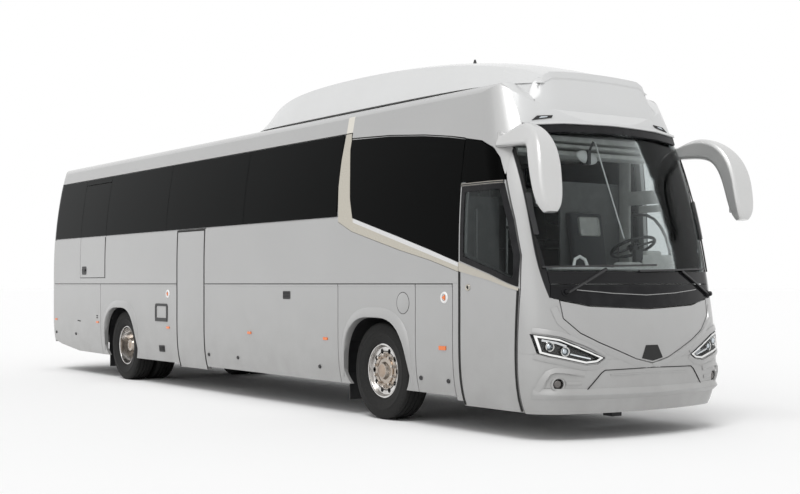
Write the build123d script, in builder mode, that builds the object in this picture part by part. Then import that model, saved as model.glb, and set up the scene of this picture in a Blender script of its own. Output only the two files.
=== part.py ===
from build123d import *
import math
import os

os.makedirs("parts", exist_ok=True)

# All sizes are millimetres. +X is forward, +Y is the driver's side (left), +Z is up.
# The origin is on the road, under the middle of the coach.

# ---------------------------------------------------------------- driving dimensions
overall_length = 12920
body_width = 2550
wheelbase = 6900
front_overhang = 2775

half_width = body_width / 2
nose_x = overall_length / 2
tail_x = -overall_length / 2
front_axle_x = nose_x - front_overhang
rear_axle_x = front_axle_x - wheelbase

# heights above the road
skirt_z = 345
door_foot_z = 262
waist_z = 1430
belt_z = 2160
window_top_z = 3085
floor_z = 1440
cab_floor_z = 1050
hold_floor_z = 430
brow_z = 2935

# gaps and wall thicknesses
panel_gap = 10
weld_gap = 1
wall = 60
flap_wall = 38
door_wall = 48
glass_wall = 10
glass_seat = 13
front_skin = 24

# plan form of the body
nose_radius = 3200
nose_corner = 420
tail_radius = 5000
tail_corner = 350

# Body form: plan outlines one above the other.
# columns: height, side leans in by, nose set back by, tail set back by
body_levels = (
    (250, 85, 60, 130),
    (560, 13, 0, 20),
    (1000, 0, 30, 0),
    (waist_z, 0, 105, 0),
    (belt_z, 13, 280, 30),
    (2900, 98, 530, 95),
    (3500, 215, 800, 330),
)

# roof section across the coach
roof_z = 3450
crown_drop = 105
shoulder_y = 985
cove_y = 1147
cove_foot_z = 3100

# wheels
tyre_radius = 512
tyre_width = 298
rim_radius = 286
rim_width = 216
wheel_centre_y = 1050
twin_spacing = 340
axle_z = tyre_radius
kingpin_y = 870
steer_arm = 250

# side seams, from the tail to the nose
flank_rear_x = -6020
engine_seam_x = -3980
hold_rear_x = -2110
mid_door_rear_x = -1215
mid_door_front_x = -355
hold_front_x = 2963
service_rear_x = 4435
service_front_x = 5055
door_rear_x = 5150
door_front_x = 6010
pillar_x = 3030
pane_seams_x = (-6075, -4846, -3794, -1590, 700, 2950)
hatch_rear_x = -4846
hatch_front_x = -3794
hatch_foot_z = 1525
hatch_top_z = 2995


# ---------------------------------------------------------------- body forms
def flip(point):
    return (-point[0], point[1]) if isinstance(point, tuple) else point


def plan_points(lean, nose_back, tail_back, inset):
    """Points of a plan outline on the left-hand side, from the nose to the tail."""
    y = half_width - lean - inset
    front_r = nose_radius - inset
    front_c = nose_corner - inset
    rear_r = tail_radius - inset
    rear_c = tail_corner - inset
    front_mid = nose_x - nose_back - inset - front_r
    rear_mid = tail_x + tail_back + inset + rear_r
    front_cx = front_mid + math.sqrt((front_r - front_c) ** 2 - (y - front_c) ** 2)
    rear_cx = rear_mid - math.sqrt((rear_r - rear_c) ** 2 - (y - rear_c) ** 2)
    front_turn = math.atan2(y - front_c, front_cx - front_mid)
    rear_turn = math.atan2(y - rear_c, rear_mid - rear_cx)
    front_half = (front_turn + math.pi / 2) / 2
    rear_half = (rear_turn + math.pi / 2) / 2
    return (
        (front_mid + front_r * math.cos(front_turn), front_r * math.sin(front_turn)),
        (front_cx + front_c * math.cos(front_half), y - front_c + front_c * math.sin(front_half)),
        (front_cx, y),
        (rear_cx, y),
        (rear_cx - rear_c * math.cos(rear_half), y - rear_c + rear_c * math.sin(rear_half)),
        (rear_mid - rear_r * math.cos(rear_turn), rear_r * math.sin(rear_turn)),
    )


def arc_middle(start, end, height):
    """Middle point of an arc that stands out by height to the right of the way from start to end."""
    dx, dz = end[0] - start[0], end[1] - start[1]
    length = math.hypot(dx, dz)
    return ((start[0] + end[0]) / 2 + height * dz / length, (start[1] + end[1]) / 2 - height * dx / length)


def body_form(inset):
    """The body's outer form moved in by inset: lofted plan outlines, trimmed by the roof's section and side line."""
    with BuildPart() as form:
        for height, lean, nose_back, tail_back in body_levels:
            left = plan_points(lean, nose_back, tail_back, inset)
            right = [(x, -y) for x, y in left]
            nose = (nose_x - nose_back - inset, 0)
            tail = (tail_x + tail_back + inset, 0)
            with BuildSketch(Plane.XY.offset(height)):
                with BuildLine():
                    ThreePointArc(right[0], nose, left[0])
                    ThreePointArc(left[0], left[1], left[2])
                    Line(left[2], left[3])
                    ThreePointArc(left[3], left[4], left[5])
                    ThreePointArc(left[5], tail, right[5])
                    ThreePointArc(right[5], right[4], right[3])
                    Line(right[3], right[2])
                    ThreePointArc(right[2], right[1], right[0])
                make_face()
        loft()
        with BuildSketch(Plane.YZ.offset(-overall_length)):
            with BuildLine():
                top = (0, roof_z - inset)
                crest = (shoulder_y - inset / 2, roof_z - crown_drop - inset)
                foot = (cove_y - inset, cove_foot_z)
                shoulder = arc_middle(foot, crest, 58)
                wide = 2 * body_width
                ThreePointArc(flip(crest), top, crest)
                ThreePointArc(crest, shoulder, foot)
                Polyline(foot, (wide, cove_foot_z), (wide, 0), (-wide, 0), (-wide, cove_foot_z), flip(foot))
                ThreePointArc(flip(foot), flip(shoulder), flip(crest))
            make_face()
        extrude(amount=2 * overall_length, mode=Mode.INTERSECT)
        with BuildSketch(Plane.XZ.offset(-body_width)):
            with BuildLine():
                brow = (nose_x - 540 - inset, brow_z)
                brow_top = (nose_x - 1350, roof_z + 20 - inset)
                tail_top = (tail_x + 620, roof_z + 20 - inset)
                tail_foot = (tail_x + 105 + inset, 2960)
                Polyline((2 * tail_x, 0), (2 * nose_x, 0), (2 * nose_x, brow_z), brow)
                ThreePointArc(brow, arc_middle(brow, brow_top, 85), brow_top)
                Line(brow_top, tail_top)
                ThreePointArc(tail_top, arc_middle(tail_top, tail_foot, 70), tail_foot)
                Polyline(tail_foot, (2 * tail_x, tail_foot[1]), (2 * tail_x, 0))
            make_face()
        extrude(amount=2 * body_width, mode=Mode.INTERSECT)
    return form.part


outside = body_form(0)
glass_back = body_form(glass_wall)
frame_face = body_form(glass_seat)
skin_back = body_form(front_skin)
flap_back = body_form(flap_wall)
door_back = body_form(door_wall)
inside = body_form(wall)


def shell(face, back):
    """The skin between two body forms."""
    with BuildPart() as skin:
        add(face)
        add(back, mode=Mode.SUBTRACT)
    return skin.part


glass_shell = shell(outside, glass_back)
frame_shell = shell(frame_face, inside)
skin_shell = shell(outside, skin_back)
flap_shell = shell(outside, flap_back)
door_shell = shell(outside, door_back)
wall_shell = shell(outside, inside)


def rectangle(x0, x1, z0, z1):
    return ((x0, z0), (x1, z0), (x1, z1), (x0, z1))


def mirror_outline(points):
    """Points from the middle line outwards, closed by their mirror image."""
    return (*points, *[(-y, z) for y, z in reversed(points)])


flank_depth = 1.5 * half_width


def side_prism(outlines, side, holes=()):
    """Outlines of the side view (x, z) as a prism through one flank; side is -1 right, 1 left."""
    with BuildPart() as prism:
        with BuildSketch(Plane.XZ.offset(half_width / 2 if side < 0 else -2 * half_width)):
            for outline in outlines:
                Polygon(*outline, align=None)
            for hole in holes:
                Polygon(*hole, align=None, mode=Mode.SUBTRACT)
        extrude(amount=flank_depth)
    return prism.part


def end_prism(outlines, holes=(), rear=False, growth=0):
    """Outlines of the front view (y, z) as a prism through the nose, or through the tail."""
    with BuildPart() as prism:
        with BuildSketch(Plane.YZ.offset(2 * tail_x if rear else nose_x - 2500)):
            for outline in outlines:
                Polygon(*outline, align=None)
            if growth:
                offset(amount=growth, kind=Kind.INTERSECTION)
            for hole in holes:
                Polygon(*hole, align=None, mode=Mode.SUBTRACT)
        extrude(amount=1.5 * nose_x if rear else 3000)
    return prism.part


def cut_from(skin, *prisms, minus=()):
    """What a skin and all the prisms share, less the others."""
    with BuildPart() as piece:
        add(prisms[0])
        for prism in prisms[1:]:
            add(prism, mode=Mode.INTERSECT)
        for prism in minus:
            add(prism, mode=Mode.SUBTRACT)
        add(skin, mode=Mode.INTERSECT)
    return piece.part


def flank(outlines, side, skin, holes=()):
    """A piece of flank cut out of a skin."""
    return cut_from(skin, side_prism(outlines, side, holes))


def blocks(rows):
    """Plain blocks from rows of x0, x1, y0, y1, z0, z1."""
    with BuildPart() as pile:
        for x0, x1, y0, y1, z0, z1 in rows:
            with Locations(((x0 + x1) / 2, (y0 + y1) / 2, (z0 + z1) / 2)):
                Box(x1 - x0, y1 - y0, z1 - z0)
    return pile.part


def finish(part, name):
    part.label = name
    export_step(part, f"parts/{name}.step")


def group(pieces):
    """Pieces that don't touch, kept together as one node."""
    return Compound(children=list(pieces))


def joined(pieces):
    """Pieces that meet, made one."""
    with BuildPart() as whole:
        for piece in pieces:
            add(piece)
    return whole.part


def mirrored(piece):
    """A piece and its mirror image across the coach's middle plane."""
    return group([piece, piece.mirror(Plane.XZ)])


# ---------------------------------------------------------------- side outlines
g = panel_gap / 2
top_edge = ((door_rear_x - g, 2835), (4900, 2875), (4460, 2931), (3830, 2987), (3060, 3025))
front_pane_foot = ((3140, 2165), (3243, 2142), (4158, 1909), (4684, 1770), (door_rear_x - g, 1640))
trim_foot = ((2950, 2112), (3240, 1996), (4143, 1779), (4685, 1666), (door_rear_x - g, 1548))
pillar_edge = ((6010, 1386), (5986, 1688), (5898, 2015), (5765, 2390))
quarter_edge = ((5765, 2400), (5750, 2445), (5680, 2600), (5590, 2703), (5420, 2783))


def lower_band():
    """Metal band between the waist joint and the belt, down in front to the strip under the front pane."""
    return (
        (flank_rear_x, waist_z + g), (door_rear_x - g, waist_z + g), (door_rear_x - g, trim_foot[-1][1] - g),
        *[(x, z - g) for x, z in trim_foot[-2::-1]], (2945, belt_z - g), (flank_rear_x, belt_z - g),
    )


print("forms done")

# ---------------------------------------------------------------- side walls
frame_outline = (
    (flank_rear_x, belt_z - g + weld_gap), *[(x, z - g + weld_gap) for x, z in trim_foot],
    (door_rear_x - g, 2825), *[(x, z - 5) for x, z in top_edge[1:]], (2900, window_top_z), (flank_rear_x, window_top_z),
)
front_window_hole = (
    (3220, 2240), (4180, 1990), (4700, 1850), (5070, 1750), (5070, 2770), (4900, 2805), (4460, 2860), (3830, 2920),
    (3220, 2950),
)
window_holes = [rectangle(rear + 45, front - 45, belt_z + 60, window_top_z - 60)
                for rear, front in zip(pane_seams_x[:-1], pane_seams_x[1:])]
hatch_hole = rectangle(hatch_rear_x - g, hatch_front_x + g, hatch_foot_z - g, hatch_top_z + g)
mid_door_hole = rectangle(mid_door_rear_x - g, mid_door_front_x + g, 0, belt_z + g)
weld_lines = [rectangle(x, x + weld_gap, waist_z, roof_z) for x in
              (hatch_rear_x - g, hatch_front_x + g, mid_door_rear_x - g, mid_door_front_x + g)]
weld_lines.append(rectangle(service_front_x, door_rear_x, waist_z + g, waist_z + g + weld_gap))
post_top = trim_foot[-1][1] - 20
post_outline = rectangle(service_front_x + g, door_rear_x - g, skirt_z - 40, post_top)

for side, name in ((-1, "side_wall_right"), (1, "side_wall_left")):
    openings = [hatch_hole, mid_door_hole] if side < 0 else []
    band = flank([lower_band(), post_outline], side, wall_shell, [*openings, *weld_lines])
    frame = flank([frame_outline], side, frame_shell, [*openings, *weld_lines, *window_holes, front_window_hole])
    finish(group([band, frame]), name)
print("side walls")

# ---------------------------------------------------------------- side and rear glass
pane_gap = 8
pane_foot_z = belt_z + panel_gap
pillar_front = ((3235, 2140), (3165, 2350), (3122, 2620), (3062, 2900), (3064, 3008))
front_pane = (
    *front_pane_foot[1:], *[(x, z - 12) for x, z in top_edge[:-1]], *[(x + pane_gap, z) for x, z in pillar_front[:0:-1]],
)
quarter_pane = (
    (door_rear_x + g, 2402), (pillar_edge[-1][0] - g, 2402), *[(x - panel_gap, z - 4) for x, z in quarter_edge[1:]],
    (door_rear_x + g, 2828),
)
driver_pane = (
    (door_rear_x + g, 1640), (5633, 1503), (5995, 1385), (5976, 1688), (5888, 2015), (5755, 2402),
    *[(x - panel_gap, z - 4) for x, z in quarter_edge[1:]], (door_rear_x + g, 2828),
)
panes = {-1: [front_pane, quarter_pane], 1: [front_pane, driver_pane]}
edges = (flank_rear_x + 2, *pane_seams_x[1:-1], 2905)
for side in panes:
    for rear, front in zip(edges[:-1], edges[1:]):
        foot = hatch_top_z + g if side < 0 and rear == hatch_rear_x else pane_foot_z
        panes[side].append(rectangle(rear + pane_gap / 2, front - pane_gap / 2, foot, window_top_z - g))
rear_window = mirror_outline(((0, 2230), (880, 2230), (840, 2900), (0, 2900)))
finish(group([
    *[flank(panes[side], side, glass_shell) for side in panes],
    cut_from(glass_shell, end_prism([rear_window], rear=True)),
]), "windows")

trim_outline = (
    *trim_foot, (door_rear_x - g, 1640 - g), (4684, 1770 - g), (4158, 1909 - g), *pillar_front,
    (3058, 3016), (3050, 3080), (2935, 3080), (2912, 2800), (2910, 2500),
)
finish(group([flank([trim_outline], side, glass_shell) for side in panes]), "belt_trim")
print("windows")

# ---------------------------------------------------------------- wheel arches in the skirt
arch_top_z = 1080
arch_foot = 735
arch_shoulder = 530
arch_round = 360


def arch_prism(axle_x, side):
    """The opening over a wheel: sides that lean in, and a rounded top."""
    with BuildPart() as opening:
        with BuildSketch(Plane.XZ.offset(half_width / 2 if side < 0 else -2 * half_width)) as face:
            Polygon((axle_x - arch_foot, skirt_z - 100), (axle_x + arch_foot, skirt_z - 100),
                    (axle_x + arch_shoulder, arch_top_z), (axle_x - arch_shoulder, arch_top_z), align=None)
            fillet(face.vertices().group_by(Axis.Z)[-1], arch_round)
        extrude(amount=flank_depth)
    return opening.part


rear_foot = ((engine_seam_x, skirt_z), (-5000, skirt_z + 10), (-5750, 440), (flank_rear_x, 495))
skirt_rows = {
    # pieces of fixed skirt on each side: x from, x to, axle of the arch in it
    -1: ((engine_seam_x + g, mid_door_rear_x - g, rear_axle_x), (hold_front_x + g, service_rear_x - g, front_axle_x)),
    1: ((engine_seam_x + g, mid_door_front_x - g, rear_axle_x), (hold_front_x + g, service_front_x + 4, front_axle_x),
        (door_rear_x + g, door_front_x + 4, None)),
}
skirts = []
for side, rows in skirt_rows.items():
    for x0, x1, axle_x in rows:
        if axle_x is None:
            corner = ((x0, door_foot_z + 60), (x1, door_foot_z + 60), (x1, 1372), (5633, 1493), (x0, 1628))
            skirts.append(flank([corner], side, flap_shell))
        else:
            panel = side_prism([rectangle(x0, x1, skirt_z, waist_z - g)], side)
            skirts.append(cut_from(flap_shell, panel, minus=[arch_prism(axle_x, side)]))
finish(group(skirts), "skirt_panels")

# ---------------------------------------------------------------- flaps and doors in the flanks
flap_rows = (
    ("luggage_flap_right", -1, rectangle(mid_door_front_x + g, hold_front_x - g, skirt_z, waist_z - g)),
    ("luggage_flap_left", 1, rectangle(mid_door_front_x + g, hold_front_x - g, skirt_z, waist_z - g)),
    ("service_flap", -1, rectangle(service_rear_x + g, service_front_x - g, skirt_z, waist_z - g)),
    ("engine_flap_right", -1, ((engine_seam_x - g, waist_z - g), (engine_seam_x - g, skirt_z), *rear_foot[1:],
                               (flank_rear_x, waist_z - g))),
    ("engine_flap_left", 1, ((engine_seam_x - g, waist_z - g), (engine_seam_x - g, skirt_z), *rear_foot[1:],
                             (flank_rear_x, waist_z - g))),
)
for name, side, outline in flap_rows:
    finish(flank([outline], side, flap_shell), name)

hatch_metal = rectangle(hatch_rear_x + g, hatch_front_x - g, hatch_foot_z + g, belt_z - g)
hatch_glass = rectangle(hatch_rear_x + g, hatch_front_x - g, belt_z - g, hatch_top_z - g)
hatch_window = rectangle(hatch_rear_x + 80, hatch_front_x - 80, belt_z + 60, hatch_top_z - 80)
hatch_frame = cut_from(shell(frame_face, flap_back), side_prism([hatch_glass], -1, [hatch_window]))
finish(joined([flank([hatch_metal], -1, flap_shell), hatch_frame]), "emergency_hatch")
hatch_pane = rectangle(hatch_rear_x + g, hatch_front_x - g, pane_foot_z, hatch_top_z - g)
finish(flank([hatch_pane], -1, glass_shell), "emergency_hatch_glass")

pin_radius = 12
post_radius = 22
arm_half = 18
bracket_reach = 100


def door_hardware(post_x, post_y, pin_x, pin_y, foot_z, head_z, arm_heights, name):
    """A door's swing post with its arms; each arm ends in an eye round a pin on the leaf."""
    length = math.hypot(pin_x - post_x, pin_y - post_y)
    turn = math.degrees(math.atan2(pin_y - post_y, pin_x - post_x))
    with BuildPart() as arm:
        with Locations((post_x, post_y, (foot_z + head_z) / 2)):
            Cylinder(post_radius, head_z - foot_z)
        for z in arm_heights:
            with Locations(Location(((post_x + pin_x) / 2, (post_y + pin_y) / 2, z), (0, 0, turn))):
                Box(length, 2 * arm_half, 2 * arm_half)
            with Locations((pin_x, pin_y, z)):
                Cylinder(arm_half + pin_radius, 2 * arm_half)
                Cylinder(pin_radius + 1, 2 * arm_half, mode=Mode.SUBTRACT)
    finish(arm.part, name)


def door_pins(pin_x, pin_y, arm_heights):
    """Pins on the leaf, each held by a bracket above and below the arm's eye."""
    with BuildPart() as pins:
        for z in arm_heights:
            for step in (-1, 1):
                with Locations((pin_x, pin_y - bracket_reach / 2 + 25, z + step * (arm_half + 12))):
                    Box(40, bracket_reach, 16)
            with Locations((pin_x, pin_y, z)):
                Cylinder(pin_radius, 2 * arm_half + 20)
    return pins.part


# front door: post near its front edge, the leaf swings out and forward
front_post = (5840, -1075)
front_pin = (5340, -1170)
front_arms = (800, 1350)
front_leaf_outline = (
    (door_rear_x + g, door_foot_z), (door_front_x - g, door_foot_z), (door_front_x - g, 1386), (5980, 1688),
    (5892, 2015), (5762, 2392), (door_rear_x + g, 2392),
)
front_leaf_window = (
    (door_rear_x + 75, 1720), (5633, 1590), (5930, 1490), (5912, 1688), (5825, 2010), (5725, 2310),
    (door_rear_x + 75, 2310),
)
front_leaf_glass = (
    (door_rear_x + 22, 1650), (5633, 1520), (5980, 1404), (5962, 1688), (5874, 2015), (5752, 2360),
    (door_rear_x + 22, 2360),
)
with BuildPart() as front_door:
    add(flank([front_leaf_outline], -1, door_shell))
    add(shell(outside, frame_face).intersect(side_prism([front_leaf_glass], -1)), mode=Mode.SUBTRACT)
    add(side_prism([front_leaf_window], -1), mode=Mode.SUBTRACT)
    add(door_pins(*front_pin, front_arms))
finish(front_door.part, "front_door")
finish(flank([front_leaf_glass], -1, glass_shell), "front_door_glass")
door_hardware(*front_post, *front_pin, 470, 1500, front_arms, "front_door_arm")

# middle door: post near its rear edge, the leaf swings out and back
mid_post = (-1045, -1075)
mid_pin = (-560, -1170)
mid_arms = (800, 1500)
mid_leaf = rectangle(mid_door_rear_x + g, mid_door_front_x - g, door_foot_z + 40, belt_z - g)
finish(joined([flank([mid_leaf], -1, door_shell), door_pins(*mid_pin, mid_arms)]), "mid_door")
door_hardware(*mid_post, *mid_pin, 470, 1650, mid_arms, "mid_door_arm")
print("doors")

# ---------------------------------------------------------------- roof
crown_front_x = 5100
crown_rear_x = -6000
hatch_centre_x = -2400
hatch_half = 400
glass_bead = 6
windscreen_outline = mirror_outline(((0, 1432), (1022, 1432), (1038, 1628), (1069, 1865), (1083, 2151), (1090, 2526),
                                     (1085, 2772), (920, 2905), (600, 2925), (0, 2928)))
cove_front_x = 5756
cove_outline = (
    (crown_rear_x, window_top_z + g), (3068, window_top_z + g), (3070, 3025 + g),
    *[(x, z + g) for x, z in top_edge[3::-1]], (door_rear_x + g, 2828 + g),
    *[(x - 4, z + g) for x, z in quarter_edge[:0:-1]], (cove_front_x, 2450), (cove_front_x, 2 * roof_z),
    (crown_rear_x, 2 * roof_z),
)
middle_strip = blocks([(2 * tail_x, 2 * nose_x, -shoulder_y - weld_gap, shoulder_y + weld_gap, 0, 2 * roof_z)])
finish(mirrored(cut_from(wall_shell, side_prism([cove_outline], -1),
                         minus=[middle_strip, end_prism([windscreen_outline], growth=glass_bead)])), "roof_coves")
crown_box = blocks([(crown_rear_x, crown_front_x, -shoulder_y, shoulder_y, 3200, 2 * roof_z)])
hatch_box = blocks([(hatch_centre_x - hatch_half, hatch_centre_x + hatch_half, -hatch_half, hatch_half, 3200, 2 * roof_z)])
hatch_gap_box = blocks([(hatch_centre_x - hatch_half - panel_gap, hatch_centre_x + hatch_half + panel_gap,
                         -hatch_half - panel_gap, hatch_half + panel_gap, 3200, 2 * roof_z)])
finish(cut_from(wall_shell, crown_box, minus=[hatch_gap_box]), "roof")
finish(cut_from(flap_shell, hatch_box), "roof_hatch")
cap_box = blocks([(crown_front_x + weld_gap, nose_x, -shoulder_y, shoulder_y, brow_z, 2 * roof_z)])
finish(cut_from(wall_shell, cap_box), "roof_cap")

# Pod on the roof: sections across it, from its tail to its nose.
# columns: x, half width at the foot, foot height, top height
pod_sections = (
    (250, 780, 3400, 3470),
    (800, 900, 3385, 3760),
    (1900, 940, 3380, 3890),
    (3400, 940, 3380, 3860),
    (4600, 900, 3380, 3730),
    (5350, 820, 3360, 3560),
    (5700, 700, 3340, 3420),
)
with BuildPart() as pod:
    for x, foot_half, foot_z, top_z in pod_sections:
        rise = top_z - foot_z
        shoulder = (0.82 * foot_half, foot_z + 0.78 * rise)
        with BuildSketch(Plane.YZ.offset(x)):
            with BuildLine():
                Line((-foot_half, foot_z), (foot_half, foot_z))
                Line((foot_half, foot_z), shoulder)
                ThreePointArc(shoulder, (0, top_z), flip(shoulder))
                Line(flip(shoulder), (-foot_half, foot_z))
            make_face()
    loft()
    add(outside, mode=Mode.SUBTRACT)
finish(pod.part, "roof_pod")
print("roof")

# ---------------------------------------------------------------- nose
cowl_outline = mirror_outline(((0, 1203), (670, 1233), (1005, 1300), (1030, 1312), (1020, 1424), (0, 1424)))
lid_outline = mirror_outline(((0, 700), (210, 747), (593, 897), (787, 990), (935, 1120), (950, 1275), (670, 1221),
                              (0, 1191)))
headlight_outline = ((-1199, 975), (-983, 935), (-560, 758), (-636, 717), (-751, 707), (-1093, 783), (-1168, 808))
bumper_top = ((0, 688), (210, 735), (560, 745), (640, 702), (751, 695), (1093, 770), (1175, 796), (1400, 800))
front_whole = mirror_outline(((0, 300), (1400, 300), (1400, brow_z), (0, brow_z)))
nose_side = (
    (door_front_x + g, 250), (7000, 250), (7000, 3600), (cove_front_x + 1, 3600), (cove_front_x + 1, 2470),
    (5775, 2400), (5908, 2015), (5996, 1688), (door_front_x + g, 1386),
)


headlight_pair = [headlight_outline, tuple((-y, z) for y, z in headlight_outline)]
bumper_region = (*bumper_top, (1400, 200), (-1400, 200), *[(-y, z) for y, z in reversed(bumper_top[1:])])
lamp_gap = 4
with BuildPart() as nose_block:
    with BuildSketch(Plane.XZ.offset(-2 * half_width)):
        Polygon(*nose_side, align=None)
    extrude(amount=4 * half_width)
brow_strip = blocks([(nose_x - 2000, nose_x + 100, -480, 480, waist_z, 2 * roof_z),
                     (nose_x - 2000, nose_x + 100, -280, 280, 0, waist_z - 1)])
headlight_hole = end_prism(headlight_pair, growth=lamp_gap)
mask = cut_from(wall_shell, nose_block.part, end_prism([front_whole]), minus=[
    end_prism([windscreen_outline], growth=glass_bead), end_prism([cowl_outline], growth=glass_bead),
    end_prism([lid_outline], growth=panel_gap), headlight_hole, end_prism([bumper_region], growth=weld_gap), brow_strip,
])
finish(mask, "front_mask")

fog_y = 1011
fog_z = 527
fog_radius = 60


def fog_prism(radius):
    with BuildPart() as prism:
        with BuildSketch(Plane.YZ.offset(nose_x - 2500)):
            with Locations((fog_y, fog_z), (-fog_y, fog_z)):
                Circle(radius)
        extrude(amount=3000)
    return prism.part


finish(cut_from(wall_shell, nose_block.part, end_prism([bumper_region]),
                minus=[headlight_hole, fog_prism(fog_radius + lamp_gap)]), "front_bumper")
finish(group([cut_from(flap_shell, end_prism(headlight_pair)), cut_from(frame_shell, fog_prism(fog_radius))]),
       "front_lamps")
finish(cut_from(glass_shell, end_prism([windscreen_outline])), "windscreen")
finish(cut_from(skin_shell, end_prism([cowl_outline])), "wiper_cowl")
finish(cut_from(skin_shell, end_prism([lid_outline])), "front_lid")
print("nose")

# ---------------------------------------------------------------- tail
tail_foot_z = 470
tail_step_z = 735
engine_lid_half = 950
engine_lid_foot = 760
engine_lid_top = 1880
tail_side = (
    (2 * tail_x, tail_foot_z), (flank_rear_x - g, tail_foot_z), (flank_rear_x - g, window_top_z),
    (crown_rear_x - weld_gap, window_top_z + g), (crown_rear_x - weld_gap, 2 * roof_z), (2 * tail_x, 2 * roof_z),
)
tail_lamp_outline = ((1000, 960), (1150, 960), (1150, 1700), (1000, 1700))
tail_lamp_pair = [tail_lamp_outline, tuple((-y, z) for y, z in tail_lamp_outline)]
engine_lid_outline = mirror_outline(((0, engine_lid_foot), (engine_lid_half, engine_lid_foot),
                                     (engine_lid_half, engine_lid_top), (0, engine_lid_top)))
bumper_box = blocks([(2 * tail_x, flank_rear_x - g, -1400, 1400, tail_foot_z, tail_step_z)])
with BuildPart() as tail_block:
    with BuildSketch(Plane.XZ.offset(-2 * half_width)):
        Polygon(*tail_side, align=None)
    extrude(amount=4 * half_width)
    add(blocks([(2 * tail_x, flank_rear_x + 100, -1400, 1400, 0, tail_step_z + weld_gap)]), mode=Mode.SUBTRACT)
finish(cut_from(wall_shell, tail_block.part, minus=[
    end_prism([rear_window], rear=True, growth=glass_bead), end_prism(tail_lamp_pair, rear=True, growth=lamp_gap),
    end_prism([engine_lid_outline], rear=True, growth=panel_gap),
]), "rear_wall")
finish(cut_from(wall_shell, bumper_box), "rear_bumper")
finish(cut_from(flap_shell, end_prism([engine_lid_outline], rear=True)), "engine_lid")
finish(cut_from(skin_shell, end_prism(tail_lamp_pair, rear=True)), "tail_lamps")
print("tail")

# ---------------------------------------------------------------- underbody
rail_y = 430
rail_half = 35
rail_foot_z = 720
rail_top_z = 920
bulkhead_front_x = 2960
bulkhead_rear_x = -2380
bulkhead = 30
floor_thick = 40
beam_z = 500


def both_sides(rows):
    """Rows for the left-hand side and their mirror images."""
    return [*rows, *[(x0, x1, -y1, -y0, z0, z1) for x0, x1, y0, y1, z0, z1 in rows]]


# columns: x from, x to, y from, y to, z from, z to
rail_rows = both_sides([
    (bulkhead_front_x + weld_gap, 6000, rail_y - rail_half, rail_y + rail_half, rail_foot_z, rail_top_z),
    (-6200, bulkhead_rear_x - weld_gap, rail_y - rail_half, rail_y + rail_half, rail_foot_z, rail_top_z),
])
cross_y = rail_y - rail_half - weld_gap
cross_rows = [(x, x + 80, -cross_y, cross_y, rail_foot_z + 20, rail_top_z - 20)
              for x in (-6150, -4400, -2700, 3060, 4500, 5400, 5880)]
outriggers = both_sides([(x, x + 60, rail_y + rail_half + weld_gap, 1180, 800, 880) for x in (-4600, 4480, 5080)])
bulkhead_inner_x = (bulkhead_rear_x + bulkhead, bulkhead_front_x - bulkhead)
hold_rows = [
    (bulkhead_inner_x[0] + weld_gap, mid_door_rear_x - 6, -1160, 1160, hold_floor_z - 30, hold_floor_z),
    (mid_door_rear_x - 5, mid_door_front_x + 5, -150, 1160, hold_floor_z - 30, hold_floor_z),
    (mid_door_front_x + 6, bulkhead_inner_x[1] - weld_gap, -1160, 1160, hold_floor_z - 30, hold_floor_z),
    (bulkhead_inner_x[1], bulkhead_front_x, -1160, 1160, hold_floor_z - 30, floor_z - floor_thick - 2),
    (bulkhead_rear_x, bulkhead_inner_x[0], -1160, 1160, hold_floor_z - 30, floor_z - floor_thick - 2),
]
pad_rows = both_sides([(x, x + 100, 420, 520, 640, rail_foot_z - weld_gap) for x in (4380, -2500)])
tow_front_x = 5990
tow_radius = 20
tow_length = 80
tow_z = 210
with BuildPart() as tow_block:
    add(blocks([(tow_front_x - 130, tow_front_x, -60, 60, tow_z - 50, rail_foot_z + 20 - weld_gap)]))
    with BuildSketch(Plane.YZ.offset(tow_front_x)):
        with Locations((0, tow_z)):
            Circle(tow_radius)
    extrude(amount=-tow_length, mode=Mode.SUBTRACT)
rear_tow_x = -6200
rear_tow_half = 90
rear_tow_z = 400
rear_bolt_radius = 8.5
with BuildPart() as rear_plate:
    add(blocks([(rear_tow_x, rear_tow_x + 20, -rear_tow_half, rear_tow_half, rear_tow_z - 70, rail_top_z - 20),
                (rear_tow_x + 20, -6150 - weld_gap, -60, 60, rail_foot_z + 20, rail_top_z - 20)]))
    with BuildSketch(Plane.YZ.offset(rear_tow_x - 100)):
        with Locations((0, rear_tow_z)):
            with GridLocations(160, 100, 2, 2):
                Circle(rear_bolt_radius)
    extrude(amount=140, mode=Mode.SUBTRACT)
members = [*rail_rows, *cross_rows, *outriggers, *hold_rows, *pad_rows]
finish(group([*[blocks([row]) for row in members], tow_block.part, rear_plate.part]), "chassis_frame")

stair_inner_y = -510
mid_stair_inner_y = -170
floor_rows = [
    (-6010, mid_door_rear_x - 15, -1190, 1190, floor_z - floor_thick, floor_z),
    (mid_door_rear_x - 14, mid_door_front_x + 14, mid_stair_inner_y, 1190, floor_z - floor_thick, floor_z),
    (mid_door_front_x + 15, 4850, -1190, 1190, floor_z - floor_thick, floor_z),
    (4852, 4890, -1190, 1190, cab_floor_z - floor_thick, floor_z),
    (4891, door_rear_x - 15, -1190, 1190, cab_floor_z - floor_thick, cab_floor_z),
    (door_rear_x - 14, 5880, stair_inner_y, 1190, cab_floor_z - floor_thick, cab_floor_z),
]
finish(group([blocks([row]) for row in floor_rows]), "floors")

tread = 30
riser = 20
stair_outer_y = -1160


def flight(x0, x1, tread_heights, going, inner_y, under_floor_z):
    """Treads up from a door with a riser behind each, all a weld gap apart."""
    rows = []
    for k, z in enumerate(tread_heights):
        y = stair_outer_y + k * going
        back = min(y + going + riser, inner_y)
        over = tread_heights[k + 1] - tread if k + 1 < len(tread_heights) else under_floor_z
        rows.append((x0, x1, y, back, z - tread, z))
        rows.append((x0, x1, back - riser, back, z + weld_gap, over - weld_gap))
    return rows


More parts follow.
